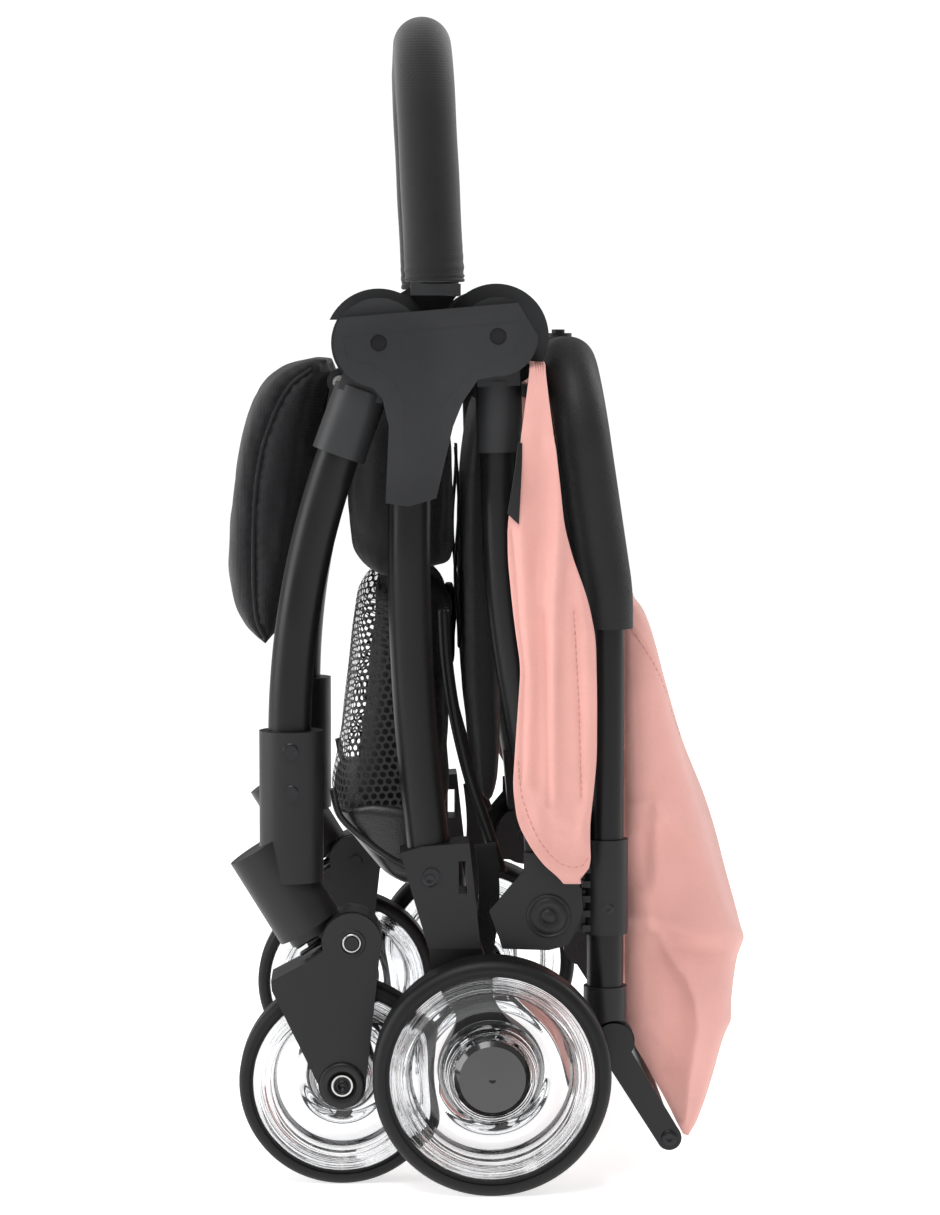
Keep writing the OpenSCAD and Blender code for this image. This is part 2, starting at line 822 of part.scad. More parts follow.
module handle_clamps() {
    color("#2a2a2e") both_sides()
        difference() {
            union() {
                disc(pivot_handle, 17, tube_y - 6, tube_y + 6);
                translate([pivot_handle[0], tube_y - 6, pivot_handle[1] - 12])
                    cube([handle_offset - 4, 12, 26]);
                for (rib = [0:5])
                    translate([handle_x - 14.5, tube_y - 10, pivot_handle[1] - 11 + 9 * rib])
                        cube([6, 20, 4]);
                translate([handle_x, tube_y, pivot_handle[1] - 13])
                    cylinder(r = handle_d / 2 + 2.6, h = 58, $fn = fine);
                translate([handle_x, tube_y, knuckle[1] + 10])
                    cylinder(r = handle_d / 2 + 2, h = 24, $fn = fine);
                disc(knuckle, 13, tube_y - 12, tube_y + 4.5);
            }
            disc(pivot_handle, pin_d / 2 + run_fit, 0, 300);
            disc(knuckle, 4 + run_fit, 0, 300);
            disc(knuckle, 14, tube_y + 4.5, tube_y + 40);
            translate([handle_x, tube_y, 103])
                cylinder(r = handle_d / 2 + run_fit, h = 140, $fn = fine);
        }
}

module button_housing() {
    color("#232327")
        difference() {
            union() {
                disc(bar_mid, grip_d / 2 + 0.6, -29.8, 29.8);
                translate([bar_mid[0], 0, bar_mid[1] + 5])
                    cylinder(r = 8.8, h = 13.8, $fn = fine);
            }
            disc(bar_mid, handle_d / 2 + run_fit, -31, 31);
            translate([bar_mid[0], 0, bar_mid[1] + 5])
                cylinder(r = 4.2 + run_fit, h = 30, $fn = fine);
        }
}

module fold_button() {
    color("#2f2f33")
        translate([bar_mid[0], 0, bar_mid[1] + handle_d / 2 + button_travel + 0.4])
            cylinder(r = 4.2, h = 7, $fn = fine);
}

// ---- canopy ----

module canopy_side_outline() {
    x = canopy_hinge[0];
    z = canopy_hinge[1];
    polygon([
        [x - 28, z + 291], [x - 19, z + 288], [x - 13, z + 260], [x - 8, z + 205],
        [x + 2, z + 175], [x + 11, z + 150], [x + 12.5, z + 55], [x + 8, z + 12],
        [x + 9, z - 8], [x + 2, z - 17], [x - 9, z - 14], [x - 23, z - 2],
        [x - 35, z + 17], [x - 38, z + 40], [x - 35, z + 76], [x - 34, z + 110],
        [x - 38, z + 142], [x - 41, z + 178], [x - 41, z + 201], [x - 34, z + 248],
    ]);
}

module canopy_fabric() {
    x = canopy_hinge[0];
    z = canopy_hinge[1];
    color("#dda7a0") {
        slab(-seat_half, seat_half)
            polygon([
                [x - 27, z + 268], [x - 19, z + 268], [x - 12, z + 205],
                [x - 3, z + 170], [x - 3, z + 60], [x - 34, z + 60],
                [x - 34, z + 110], [x - 38, z + 178], [x - 33, z + 248],
            ]);
        both_sides() {
            slab(flap_in, flap_in + flap_t) canopy_side_outline();
            translate([x - 5, seat_half - 1, z + 138])
                cube([5.5, flap_in - seat_half + 1.5, 22]);
        }
    }
}

module canopy_bow() {
    x = canopy_hinge[0];
    z = canopy_hinge[1];
    color("#3a3a3e") {
        both_sides()
            slab(flap_in - 3.4, flap_in - 0.4) {
                translate(canopy_hinge) circle(r = 7, $fn = fine);
                polygon([
                    [x - 6, z - 2], [x + 6, z + 2], [x - 19, z + 282], [x - 31, z + 282],
                ]);
            }
        slab(-flap_in + 0.4, flap_in - 0.4)
            polygon([
                [x - 31, z + 282], [x - 19, z + 282], [x - 19, z + 274], [x - 31, z + 274],
            ]);
    }
}

// ---- backrest ----

arm_tip = [knuckle[0] + 34, knuckle[1] - 59];

module recline_arms() {
    y = tube_y + 5;
    color("#2a2a2e") {
        both_sides() {
            disc(knuckle, 12, y, y + 5);
            disc(knuckle, 4, tube_y - 12, y + 1);
            disc(arm_tip, 7.6, y, y + 5);
            slab(y, y + 5)
                polygon([
                    [knuckle[0] - 6, knuckle[1] - 10.3], [arm_tip[0] - 6, arm_tip[1] - 4.6],
                    [arm_tip[0] + 6, arm_tip[1] + 4.6], [knuckle[0] + 10.6, knuckle[1] - 5.6],
                ]);
        }
        disc(arm_tip, 4, -y - 1, y + 1);
    }
}

module rear_panel() {
    x = knuckle[0];
    z = knuckle[1];
    color("#dda7a0")
        slab(-panel_half, panel_half)
            polygon([
                [x + 9, z + 285], [x + 21, z + 266], [x + 30, z + 252],
                [x + 38, z + 231], [x + 45, z + 204], [x + 54, z + 171],
                [x + 66, z + 138], [x + 78, z + 98], [x + 89, z + 58],
                [x + 88.5, z + 43], [x + 84, z + 10], [x + 78, z - 12],
                [x + 68, z - 36], [x + 60, z - 54], [x + 50, z - 63],
                [x + 42, z - 57], [x + 22, z - 16], [x + 9, z + 2],
            ]);
}

// ---- seat and basket ----

module seat_base() {
    fx = pivot_front[0];
    fz = pivot_front[1];
    color("#1c1c1f")
        slab(-seat_half + 8, seat_half - 8)
            polygon([
                [fx - 15, fz - 143], [fx - 20, fz - 92], [fx - 8, fz - 32],
                [fx + 34, fz - 30], [fx + 38, fz - 60], [fx + 36, fz - 140],
                [fx + 12, fz - 146],
            ]);
}

module basket() {
    fx = pivot_front[0];
    fz = pivot_front[1];
    color("#1a1a1c")
        slab(-seat_half, seat_half)
            polygon([
                [fx - 30, fz - 291], [fx + 9, fz - 336], [fx + 32, fz - 334],
                [fx + 42, fz - 283], [fx + 40, fz - 183], [fx + 10, fz - 151],
                [fx - 14, fz - 151], [fx - 21, fz - 213],
            ]);
}

// ---- carry bar ----

module carry_bar() {
    foot = [pivot_front[0] + 34.4, pivot_front[1] + 28.5];
    side_len = (carry_top - carry_corner_r - foot[1]) / cos(carry_lean);
    bar_x = foot[0] - (side_len + carry_corner_r) * sin(carry_lean);
    bar_z = foot[1] + (side_len + carry_corner_r) * cos(carry_lean);
    y = tube_y - 5;
    cross_half = y - carry_corner_r + tie;
    plate_in = layer_in - gap - inner_plate_t - 14;
    plate_out = plate_in + 6.5;
    color("#151517") {
        both_sides()
            difference() {
                union() {
                    disc(pivot_front, 20, plate_in, plate_out);
                    slab(plate_in, plate_out)
                        polygon([
                            [pivot_front[0] - 12, pivot_front[1] + 16],
                            [foot[0] - 14, foot[1] + 6], [foot[0] + 14, foot[1] + 6],
                            [foot[0] + 14, foot[1] + 1],
                            [pivot_front[0] + 12, pivot_front[1] - 16],
                        ]);
                    slab(plate_in - 1, y + 16)
                        translate([foot[0] - 15, foot[1]]) square([30, 7]);
                    stand(foot, y, -carry_lean) {
                        translate([0, 0, 2])
                            cylinder(r = sleeve_d / 2 - 3, h = 12, $fn = fine);
                        translate([0, 0, 10])
                            cylinder(r = sleeve_d / 2, h = side_len - 10 + tie, $fn = fine);
                        translate([0, 0, side_len])
                            rotate([0, 0, -90])
                                bend(carry_corner_r, 90)
                                    circle(r = sleeve_d / 2 + swell, $fn = fine);
                    }
                }
                disc(pivot_front, pin_d / 2 + run_fit, plate_in - 1, plate_out + 1);
            }
        translate([bar_x, cross_half, bar_z])
            rotate([90, 0, 0])
                cylinder(r = sleeve_d / 2, h = 2 * cross_half, $fn = fine);
    }
}

translate([-centre_x, 0, 0]) {
    hub(-1);  // hub_left
    hub(1);  // hub_right
    hub_inner_plates();
    hub_inlays();
    hub_pins();
    rear_leg(-1);  // rear_leg_left
    rear_leg(1);  // rear_leg_right
    rear_casting(-1);  // rear_casting_left
    rear_casting(1);  // rear_casting_right
    rear_cross_bar();
    rear_axles();
    rear_rivets();
    seat_base();
    basket();
    brake_pedal();
    front_leg(-1);  // front_leg_left
    front_leg(1);  // front_leg_right
    front_socket(-1);  // front_socket_left
    front_socket(1);  // front_socket_right
    front_casting(-1);  // front_casting_left
    front_casting(1);  // front_casting_right
    front_cross_bar();
    front_rivets();
    leg_rest_rod();
    leg_rest_pad();
    leg_rest_board();
    fork(-1);  // fork_left
    fork(1);  // fork_right
    swing_arm(-1);  // swing_arm_left
    swing_arm(1);  // swing_arm_right
    front_axle(-1);  // front_axle_left
    front_axle(1);  // front_axle_right
    front_rim(-1);  // front_rim_left
    front_rim(1);  // front_rim_right
    front_tyre(-1);  // front_tyre_left
    front_tyre(1);  // front_tyre_right
    rear_rim(-1);  // rear_rim_left
    rear_rim(1);  // rear_rim_right
    rear_tyre(-1);  // rear_tyre_left
    rear_tyre(1);  // rear_tyre_right
    rear_cap(-1);  // rear_cap_left
    rear_cap(1);  // rear_cap_right
    push_tube(-1);  // push_tube_left
    push_tube(1);  // push_tube_right
    push_sockets();
    hinge_housing(-1);  // hinge_housing_left
    hinge_housing(1);  // hinge_housing_right
    hinge_pins();
    seat_back();
    harness();
    handle_bar();
    handle_grips();
    handle_clamps();
    button_housing();
    fold_button();
    canopy_fabric();
    canopy_bow();
    recline_arms();
    rear_panel();
    carry_bar();
}
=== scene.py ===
# %% [markdown]
# # A folded baby stroller
# The hard parts (tubes, castings, wheels, pins) come ready from the CAD model. This lesson
# gives each of them its finish and makes the soft goods, which CAD only holds as plain
# blocks: the padded leg rest, the canopy, the pink back, the seat, the basket and the foam
# sleeve. All lengths below are millimetres until a mesh is made.

# %% Load the frame
import math

import bmesh
import bpy
import numpy as np
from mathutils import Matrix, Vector
from mathutils.bvhtree import BVHTree


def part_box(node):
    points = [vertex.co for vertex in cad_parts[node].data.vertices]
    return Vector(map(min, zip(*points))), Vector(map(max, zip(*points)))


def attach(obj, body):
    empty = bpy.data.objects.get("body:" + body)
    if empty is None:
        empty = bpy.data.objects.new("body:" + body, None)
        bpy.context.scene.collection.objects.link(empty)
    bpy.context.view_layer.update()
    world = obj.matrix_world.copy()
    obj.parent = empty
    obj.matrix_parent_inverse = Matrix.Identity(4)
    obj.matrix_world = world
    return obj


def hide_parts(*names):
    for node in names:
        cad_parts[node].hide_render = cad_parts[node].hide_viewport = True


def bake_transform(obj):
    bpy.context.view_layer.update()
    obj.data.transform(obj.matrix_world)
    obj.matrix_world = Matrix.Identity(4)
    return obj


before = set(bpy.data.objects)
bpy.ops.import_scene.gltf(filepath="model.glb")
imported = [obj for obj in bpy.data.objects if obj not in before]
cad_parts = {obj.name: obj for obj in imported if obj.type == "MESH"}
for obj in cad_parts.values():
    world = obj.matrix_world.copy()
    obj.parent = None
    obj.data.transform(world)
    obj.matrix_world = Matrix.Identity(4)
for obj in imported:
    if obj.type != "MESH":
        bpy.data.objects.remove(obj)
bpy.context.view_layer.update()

metres = 0.001
render_levels = 1

# %% [markdown]
# ## Camera, floor and light
# The stroller is seen square from its left side, from a little above the middle, with a
# long lens. A white tent is the studio for glossy black goods: light comes evenly from
# everywhere, so edges brighten and flat faces stay dark. A white world does the same job
# with less work than a ring of lamps, and one broad lamp adds a soft direction.


# %% Camera
def add_camera():
    data = bpy.data.cameras.new("side_camera")
    data.sensor_fit = "VERTICAL"
    data.sensor_height = 36.0
    data.lens = 110.0
    data.clip_end = 50.0
    camera = bpy.data.objects.new("side_camera", data)
    camera.location = (-0.0699, -2.430, 0.5155)
    camera.rotation_euler = (math.radians(90 - 4.14), 0.0, math.radians(-1.39))
    bpy.context.scene.collection.objects.link(camera)
    bpy.context.scene.camera = camera


add_camera()
bpy.context.scene.view_settings.view_transform = "Standard"


# %% Light
def add_softbox(name, place, target, size, power):
    data = bpy.data.lights.new(name, "AREA")
    data.shape = "SQUARE"
    data.size = size
    data.energy = power
    lamp = bpy.data.objects.new(name, data)
    lamp.location = place
    lamp.rotation_euler = (Vector(target) - Vector(place)).to_track_quat("-Z", "Y").to_euler()
    bpy.context.scene.collection.objects.link(lamp)


world = bpy.data.worlds.new("white_tent")
world.use_nodes = True
world.node_tree.nodes["Background"].inputs["Color"].default_value = (1.0, 1.0, 1.0, 1.0)
world_tree = world.node_tree
seen_by = world_tree.nodes.new("ShaderNodeLightPath")
dimmer = world_tree.nodes.new("ShaderNodeMapRange")
dimmer.inputs["To Min"].default_value = 0.36
dimmer.inputs["To Max"].default_value = 1.05
either = world_tree.nodes.new("ShaderNodeMath")
either.operation = "MAXIMUM"
world_tree.links.new(seen_by.outputs["Is Camera Ray"], either.inputs[0])
world_tree.links.new(seen_by.outputs["Is Transmission Ray"], either.inputs[1])
world_tree.links.new(either.outputs[0], dimmer.inputs["Value"])
world_tree.links.new(dimmer.outputs["Result"], world_tree.nodes["Background"].inputs["Strength"])
bpy.context.scene.world = world
add_softbox("top_softbox", (-0.5, -1.3, 2.4), (0.0, 0.0, 0.3), 1.5, 40.0)
add_softbox("back_softbox", (1.5, 0.7, 1.3), (0.0, 0.0, 0.35), 1.3, 17.0)
add_softbox("left_softbox", (-2.2, -0.3, 0.9), (0.0, 0.0, 0.35), 1.3, 24.0)

# %% [markdown]
# ## A way to write shader maths
# Material nodes are easiest to read as sums. The class below wraps one output socket, so
# `1 - mask * 0.4` adds the Math nodes by itself. `Finish` holds one material and makes any
# other node from its type, its settings and the values or wires of its inputs.


# %% Wires and finishes
class Wire:
    def __init__(self, finish, socket):
        self.finish = finish
        self.socket = socket

    def with_number(self, operation, first, second):
        return self.finish.node("ShaderNodeMath", {"operation": operation}, {0: first, 1: second})

    def __add__(self, other):
        return self.with_number("ADD", self, other)

    def __sub__(self, other):
        return self.with_number("SUBTRACT", self, other)

    def __rsub__(self, other):
        return self.with_number("SUBTRACT", other, self)

    def __mul__(self, other):
        return self.with_number("MULTIPLY", self, other)

    def __truediv__(self, other):
        return self.with_number("DIVIDE", self, other)

    def __pow__(self, other):
        return self.with_number("POWER", self, other)

    __radd__ = __add__
    __rmul__ = __mul__

    def maths(self, operation, other=0.0):
        return self.with_number(operation, self, other)


class Finish:
    def __init__(self, name, colour, **fixed):
        self.material = bpy.data.materials.new(name)
        self.material.use_nodes = True
        self.tree = self.material.node_tree
        self.shader = self.tree.nodes["Principled BSDF"]
        self.colour = (*colour, 1.0)
        self.shader.inputs["Base Color"].default_value = self.colour
        self.material.diffuse_color = self.colour
        for socket, value in fixed.items():
            self.shader.inputs[socket.replace("_", " ")].default_value = value

    def node(self, kind, settings=None, inputs=None, output=0):
        made = self.tree.nodes.new(kind)
        for key, value in (settings or {}).items():
            if key == "stops":
                ramp = made.color_ramp.elements
                while len(ramp) < len(value):
                    ramp.new(0.5)
                for stop, (place, colour) in zip(ramp, value):
                    stop.position = place
                    stop.color = colour
            else:
                setattr(made, key, value)
        for key, value in (inputs or {}).items():
            self.feed(made.inputs[key], value)
        return Wire(self, made.outputs[output])

    def feed(self, socket, value):
        if isinstance(value, Wire):
            self.tree.links.new(value.socket, socket)
        else:
            socket.default_value = value

    def place(self):
        """The point on the piece, in metres."""
        return self.node("ShaderNodeTexCoord", output="Object")

    def cloth_place(self):
        """The point on the cloth, in metres along its width and length."""
        return self.node("ShaderNodeTexCoord", output="UV")

    def axes(self, vector):
        return [self.node("ShaderNodeSeparateXYZ", None, {0: vector}, k) for k in range(3)]

    def noise(self, place, scale, detail=2.0, rough=0.5):
        return self.node(
            "ShaderNodeTexNoise", None,
            {"Vector": place, "Scale": scale, "Detail": detail, "Roughness": rough},
        )

    def spread(self, value, low, high):
        """Stretches a noise, which keeps near a half, to a range."""
        return self.node(
            "ShaderNodeMapRange", None,
            {"Value": value, "From Min": 0.35, "From Max": 0.65, "To Min": low, "To Max": high},
        )

    def tint(self, factor, darker, lighter):
        """Colours between two shares of the finish's own colour."""
        low = tuple(c * darker for c in self.colour[:3]) + (1.0,)
        high = tuple(min(c * lighter, 1.0) for c in self.colour[:3]) + (1.0,)
        mixed = self.node(
            "ShaderNodeMix", {"data_type": "RGBA"}, {0: factor, 6: low, 7: high}, output=2
        )
        self.feed(self.shader.inputs["Base Color"], mixed)
        return mixed

    def relief(self, height, depth, strength=1.0):
        """Bump of a height from 0 to 1, `depth` millimetres deep."""
        bump = self.node(
            "ShaderNodeBump", None,
            {"Height": height, "Distance": depth * metres, "Strength": strength},
        )
        self.feed(self.shader.inputs["Normal"], bump)

    def set(self, socket, value):
        self.feed(self.shader.inputs[socket], value)


# %% [markdown]
# ## Hard finishes
# The frame is anodised aluminium under a satin charcoal coat, and the hubs and castings are
# glass-filled nylon with a fine spark-eroded grain. Both are nearly black, so the grain, a
# slow drift in gloss and lighter handling marks are what keep them from looking painted on.
# The grain is a noise far finer than the parts; the drift is a broad one.


# %% Moulded plastics and coated metal
def moulded(name, colour, gloss, grain, depth, level=0.3, **fixed):
    """Roughness drifts a little around `gloss`; bump is a fine noise `grain` per metre."""
    finish = Finish(name, colour, **fixed)
    finish.shader.inputs["Specular IOR Level"].default_value = level
    place = finish.place()
    drift = finish.noise(place, 18.0, 3.0)
    speckle = finish.noise(place, grain, 2.0, 0.7)
    finish.tint(finish.spread(drift * 0.6 + speckle * 0.4, 0.0, 1.0), 0.82, 1.22)
    finish.set("Roughness", finish.spread(drift, gloss - 0.05, gloss + 0.06))
    finish.relief(speckle, depth)
    return finish


frame_tube = moulded("frame_tube", (0.007, 0.007, 0.0076), 0.34, 2600.0, 0.02, Metallic=0.15)
hub_nylon = moulded("housing_plastic", (0.021, 0.0215, 0.023), 0.42, 3000.0, 0.05)
socket_nylon = moulded("socket_plastic", (0.026, 0.0265, 0.028), 0.40, 3000.0, 0.04)
casting_nylon = moulded("trim_plastic", (0.0115, 0.0115, 0.0125), 0.40, 3000.0, 0.05)
arm_coat = moulded("arm_metal", (0.0085, 0.0085, 0.009), 0.35, 2400.0, 0.02)
tyre_foam = moulded("tyre_foam", (0.006, 0.006, 0.0064), 0.48, 1500.0, 0.10, 0.26)
cap_lacquer = moulded(
    "hub_cap", (0.011, 0.010, 0.010), 0.16, 1800.0, 0.004, 0.5, Coat_Weight=0.6, Coat_Roughness=0.05
)
rivet_black = moulded("rivet_metal", (0.022, 0.022, 0.024), 0.30, 2200.0, 0.02, Metallic=0.5)


def turned_steel(name, colour):
    """Fine lathe marks, drawn as a fine noise that tints, roughens and bumps the steel."""
    finish = Finish(name, colour, Metallic=1.0)
    place = finish.place()
    scratches = finish.noise(place, 900.0, 3.0, 0.6)
    finish.tint(finish.spread(scratches, 0.0, 1.0), 0.8, 1.08)
    finish.set("Roughness", finish.spread(scratches, 0.2, 0.34))
    finish.relief(scratches, 0.02)
    return finish


steel = turned_steel("steel", (0.56, 0.55, 0.53))
print("hard finishes ready")

# %% [markdown]
# ## Clear wheels
# The discs and rims are moulded in clear polycarbonate. It lets light through but bends it
# at every ridge, which is where the bright and dark rings come from. Transmission does that
# by itself once the ridges are really there, so the finish only adds faint scuffs.

# %% Clear plastic
clear_rim = Finish(
    "clear_rim", (0.93, 0.94, 0.95), Transmission_Weight=1.0, IOR=1.46, Roughness=0.03
)
scuffs = clear_rim.noise(clear_rim.place(), 260.0, 4.0, 0.6)
clear_rim.set("Roughness", clear_rim.spread(scuffs, 0.015, 0.06))
clear_rim.relief(clear_rim.noise(clear_rim.place(), 60.0, 1.0), 0.03)

# %% [markdown]
# ## Cloth
# Each cloth is a weave of two sets of threads. A sheet carries its own UV map in metres, so
# a thread stays the same size wherever the sheet bends; a padded piece, remade by the
# simulation, has none and takes its weave from the point itself. The weave is too fine to
# model: a product of two waves gives its height, and the same height paints shade into the
# gaps.


# %% Woven cloth
def woven(name, colour, threads, depth, on_sheet, rough=0.85, sheen=0.3, dye_and_shade_range=(0.86, 1.1)):
    """Height is the greater of two waves at right angles, `threads` to the metre, each the
    absolute sine of one direction; a broad noise makes the dye uneven."""
    finish = Finish(name, colour, Roughness=rough, Sheen_Weight=sheen, Sheen_Roughness=0.4)
    finish.shader.inputs["Specular IOR Level"].default_value = 0.25
    place = finish.cloth_place() if on_sheet else finish.place()
    along, up, high = finish.axes(place)
    pace = threads * math.pi
    warp = (along * pace).maths("SINE").maths("ABSOLUTE")
    weft = ((up if on_sheet else high) * pace).maths("SINE").maths("ABSOLUTE")
    thread = warp.maths("MAXIMUM", weft)
    slub = finish.noise(place, threads * 0.35, 2.0)
    uneven = finish.noise(place, 9.0, 4.0)
    # Painted shade: where the thread height is low, in the gaps between threads, the colour is darker. The
    # broad noise and the slubs make the dye uneven.
    finish.tint(
        finish.spread(uneven, 0.0, 0.7) + (thread - 0.7) * 0.5 + (slub - 0.5) * 0.3, *dye_and_shade_range
    )
    finish.set("Roughness", finish.spread(uneven, rough - 0.06, rough + 0.06))
    crease = finish.noise(place, 45.0, 3.0, 0.55)
    finish.relief(thread * 0.35 + slub * 0.15 + crease * 1.1, depth)
    return finish


pink_cloth = woven("pink_fabric", (0.78, 0.405, 0.36), 1500.0, 0.5, True, 0.72, 0.25)
black_cloth = woven("black_fabric", (0.0095, 0.0095, 0.011), 1100.0, 0.8, False, 0.62, 0.15)
seat_cloth = woven("seat_fabric", (0.009, 0.009, 0.0105), 1000.0, 0.8, True, 0.66, 0.15)
webbing = woven("webbing", (0.013, 0.013, 0.014), 700.0, 0.5, False, 0.8, 0.2)
thread_pink = woven("pink_thread", (0.66, 0.33, 0.29), 2500.0, 0.1, False, 0.7, 0.2)
tag_cloth = woven("tag_fabric", (0.012, 0.012, 0.013), 2000.0, 0.1, False, 0.6, 0.1)


# %% [markdown]
# The sleeve on the carry bar is foam under a fine knit, and the grips are embossed
# imitation leather. A knit is rows of small loops, so its height is one wave whose phase
# follows another. Leather is a net of cells with rounded tops, which Voronoi cells give.


# %% Knit and leather
def knitted(name, colour):
    finish = Finish(name, colour, Roughness=0.85, Sheen_Weight=0.35, Sheen_Roughness=0.5)
    finish.shader.inputs["Specular IOR Level"].default_value = 0.2
    place = finish.place()
    along, across, up = finish.axes(place)
    column = ((along + across) * 4200.0).maths("SINE")
    loops = (up * 3600.0 + column * 1.2).maths("SINE")
    fuzz = finish.noise(place, 2400.0, 3.0, 0.7)
    worn = finish.noise(place, 22.0, 4.0)
    finish.tint(finish.spread(worn, 0.1, 0.7) + fuzz * 0.3, 0.75, 1.3)
    finish.relief(loops * 0.3 + fuzz * 0.8, 0.12)
    return finish


def embossed_leather(name, colour):
    finish = Finish(name, colour, Roughness=0.5, Coat_Weight=0.12, Coat_Roughness=0.35)
    finish.shader.inputs["Specular IOR Level"].default_value = 0.28
    place = finish.place()
    cells = finish.node(
        "ShaderNodeTexVoronoi", {"feature": "DISTANCE_TO_EDGE"}, {"Vector": place, "Scale": 620.0}
    )
    grain = (cells * 3.0).maths("MINIMUM", 1.0)
    worn = finish.noise(place, 26.0, 4.0)
    finish.tint(finish.spread(worn, 0.2, 0.8), 0.8, 1.25)
    finish.set("Roughness", finish.spread(worn, 0.42, 0.54) + (1 - grain) * 0.15)
    finish.relief(grain + finish.noise(place, 1700.0, 2.0) * 0.3, 0.12)
    return finish


sleeve_knit = knitted("sleeve_fabric", (0.0072, 0.0072, 0.0078))
grip_leather = embossed_leather("grip_leather", (0.0085, 0.0085, 0.009))

# %% [markdown]
# ## Dress the CAD parts
# Every hard CAD part keeps its shape. One table says which finish each of them wears; a
# part's object has one material slot, and the finish goes in there.

# %% Finishes of the CAD parts
wears = {
    frame_tube: """rear_leg_left rear_leg_right front_leg_left front_leg_right push_tube_left
        push_tube_right rear_cross_bar front_cross_bar handle_bar canopy_bow""",
    hub_nylon: "hub_left hub_right hub_inlays hub_inner_plates push_sockets carry_bar",
    socket_nylon: "front_socket_left front_socket_right",
    casting_nylon: """rear_casting_left rear_casting_right front_casting_left
        front_casting_right fork_left fork_right swing_arm_left swing_arm_right handle_clamps
        hinge_housing_left hinge_housing_right button_housing fold_button brake_pedal
        leg_rest_board""",
    arm_coat: "recline_arms",
    tyre_foam: "front_tyre_left front_tyre_right rear_tyre_left rear_tyre_right",
    cap_lacquer: "rear_cap_left rear_cap_right",
    clear_rim: "front_rim_left front_rim_right rear_rim_left rear_rim_right",
    rivet_black: "hub_pins rear_rivets front_rivets hinge_pins rear_axles",
    steel: "front_axle_left front_axle_right leg_rest_rod",
    grip_leather: "handle_grips",
    webbing: "harness",
    black_cloth: "seat_base seat_back basket leg_rest_pad",
    pink_cloth: "canopy_fabric rear_panel",
}
for finish, parts in wears.items():
    for part in parts.split():
        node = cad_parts[part]
        if not node.material_slots:
            node.data.materials.append(finish.material)
        for slot in node.material_slots:
            slot.material = finish.material
print(sum(len(parts.split()) for parts in wears.values()), "CAD parts dressed")

# %% [markdown]
# ## Surfaces from grids
# Every new piece is a grid of points: rows along it, columns around or across it. A grid
# becomes a mesh with one quad between each four neighbours. Where a grid closes on itself
# its last column joins its first, and an end row whose points are all the same is a pole,
# which merging closes.


# %% Grid to piece
def quads(rows, cols, round_cols, round_rows=False):
    """Each quad joins a point, the next in its row, and the two above them."""
    last_row = rows if round_rows else rows - 1
    last_col = cols if round_cols else cols - 1
    r, c = np.meshgrid(np.arange(last_row), np.arange(last_col), indexing="ij")
    r2, c2 = (r + 1) % rows, (c + 1) % cols
    corners = (r * cols + c, r * cols + c2, r2 * cols + c2, r2 * cols + c)
    return np.stack(corners, axis=-1).reshape(-1, 4)


def finished(name, mesh, finish, body, tidy=True):
    """Merges doubled points, turns faces outwards and puts the piece on its body."""
    if tidy:
        work = bmesh.new()
        work.from_mesh(mesh)
        bmesh.ops.remove_doubles(work, verts=work.verts, dist=2e-6)
        bmesh.ops.recalc_face_normals(work, faces=work.faces)
        work.to_mesh(mesh)
        work.free()
    mesh.polygons.foreach_set("use_smooth", np.ones(len(mesh.polygons), dtype=bool))
    mesh.materials.append(finish.material)
    piece = bpy.data.objects.new(name, mesh)
    bpy.context.scene.collection.objects.link(piece)
    if body:
        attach(piece, body)
    return piece


def surface(name, grid, finish, body, round_cols=False, round_rows=False, cloth=None, tidy=True):
    """A piece from a grid (rows, columns, xyz) in millimetres; `cloth` is the grid's place
    on the flat cloth, in millimetres, kept as the UV map in metres."""
    rows, cols = grid.shape[:2]
    faces = quads(rows, cols, round_cols, round_rows)
    mesh = bpy.data.meshes.new(name)
    mesh.from_pydata((grid.reshape(-1, 3) * metres).tolist(), [], faces.tolist())
    if cloth is not None:
        layer = mesh.uv_layers.new(name="cloth")
        layer.data.foreach_set("uv", (cloth.reshape(-1, 2)[faces] * metres).ravel())
    return finished(name, mesh, finish, body, tidy)


def joined(name, grids, finish, body, round_rows=False):
    """Several closed grids as one piece: their points are stacked and their quads shifted."""
    points = np.concatenate([g.reshape(-1, 3) for g in grids])
    sizes = np.array([g.shape[0] * g.shape[1] for g in grids])
    starts = np.cumsum(sizes) - sizes
    faces = np.concatenate(
        [quads(*g.shape[:2], True, round_rows) + s for g, s in zip(grids, starts)]
    )
    mesh = bpy.data.meshes.new(name)
    mesh.from_pydata((points * metres).tolist(), [], faces.tolist())
    return finished(name, mesh, finish, body)


def smooth_line(points, count):
    """A curve through the points: each coordinate is a Catmull-Rom spline of the distance
    along the points, read at `count` even steps."""
    p = np.asarray(points, float)
    ends = np.vstack([2 * p[0] - p[1], p, 2 * p[-1] - p[-2]])
    t = np.linspace(0, len(p) - 1 - 1e-9, max(count * 4, 200))
    i = t.astype(int)
    f = (t - i)[:, None]
    a, b, c, d = (ends[i + k] for k in range(4))
    curve = 0.5 * (
        2 * b + (c - a) * f + (2 * a - 5 * b + 4 * c - d) * f**2 + (3 * b - a - 3 * c + d) * f**3
    )
    walked = np.append(0, np.cumsum(np.linalg.norm(np.diff(curve, axis=0), axis=1)))
    even = np.linspace(0, walked[-1], count)
    return np.stack([np.interp(even, walked, column) for column in curve.T], axis=-1)


def unit(v):
    return v / np.maximum(np.linalg.norm(v, axis=-1, keepdims=True), 1e-9)


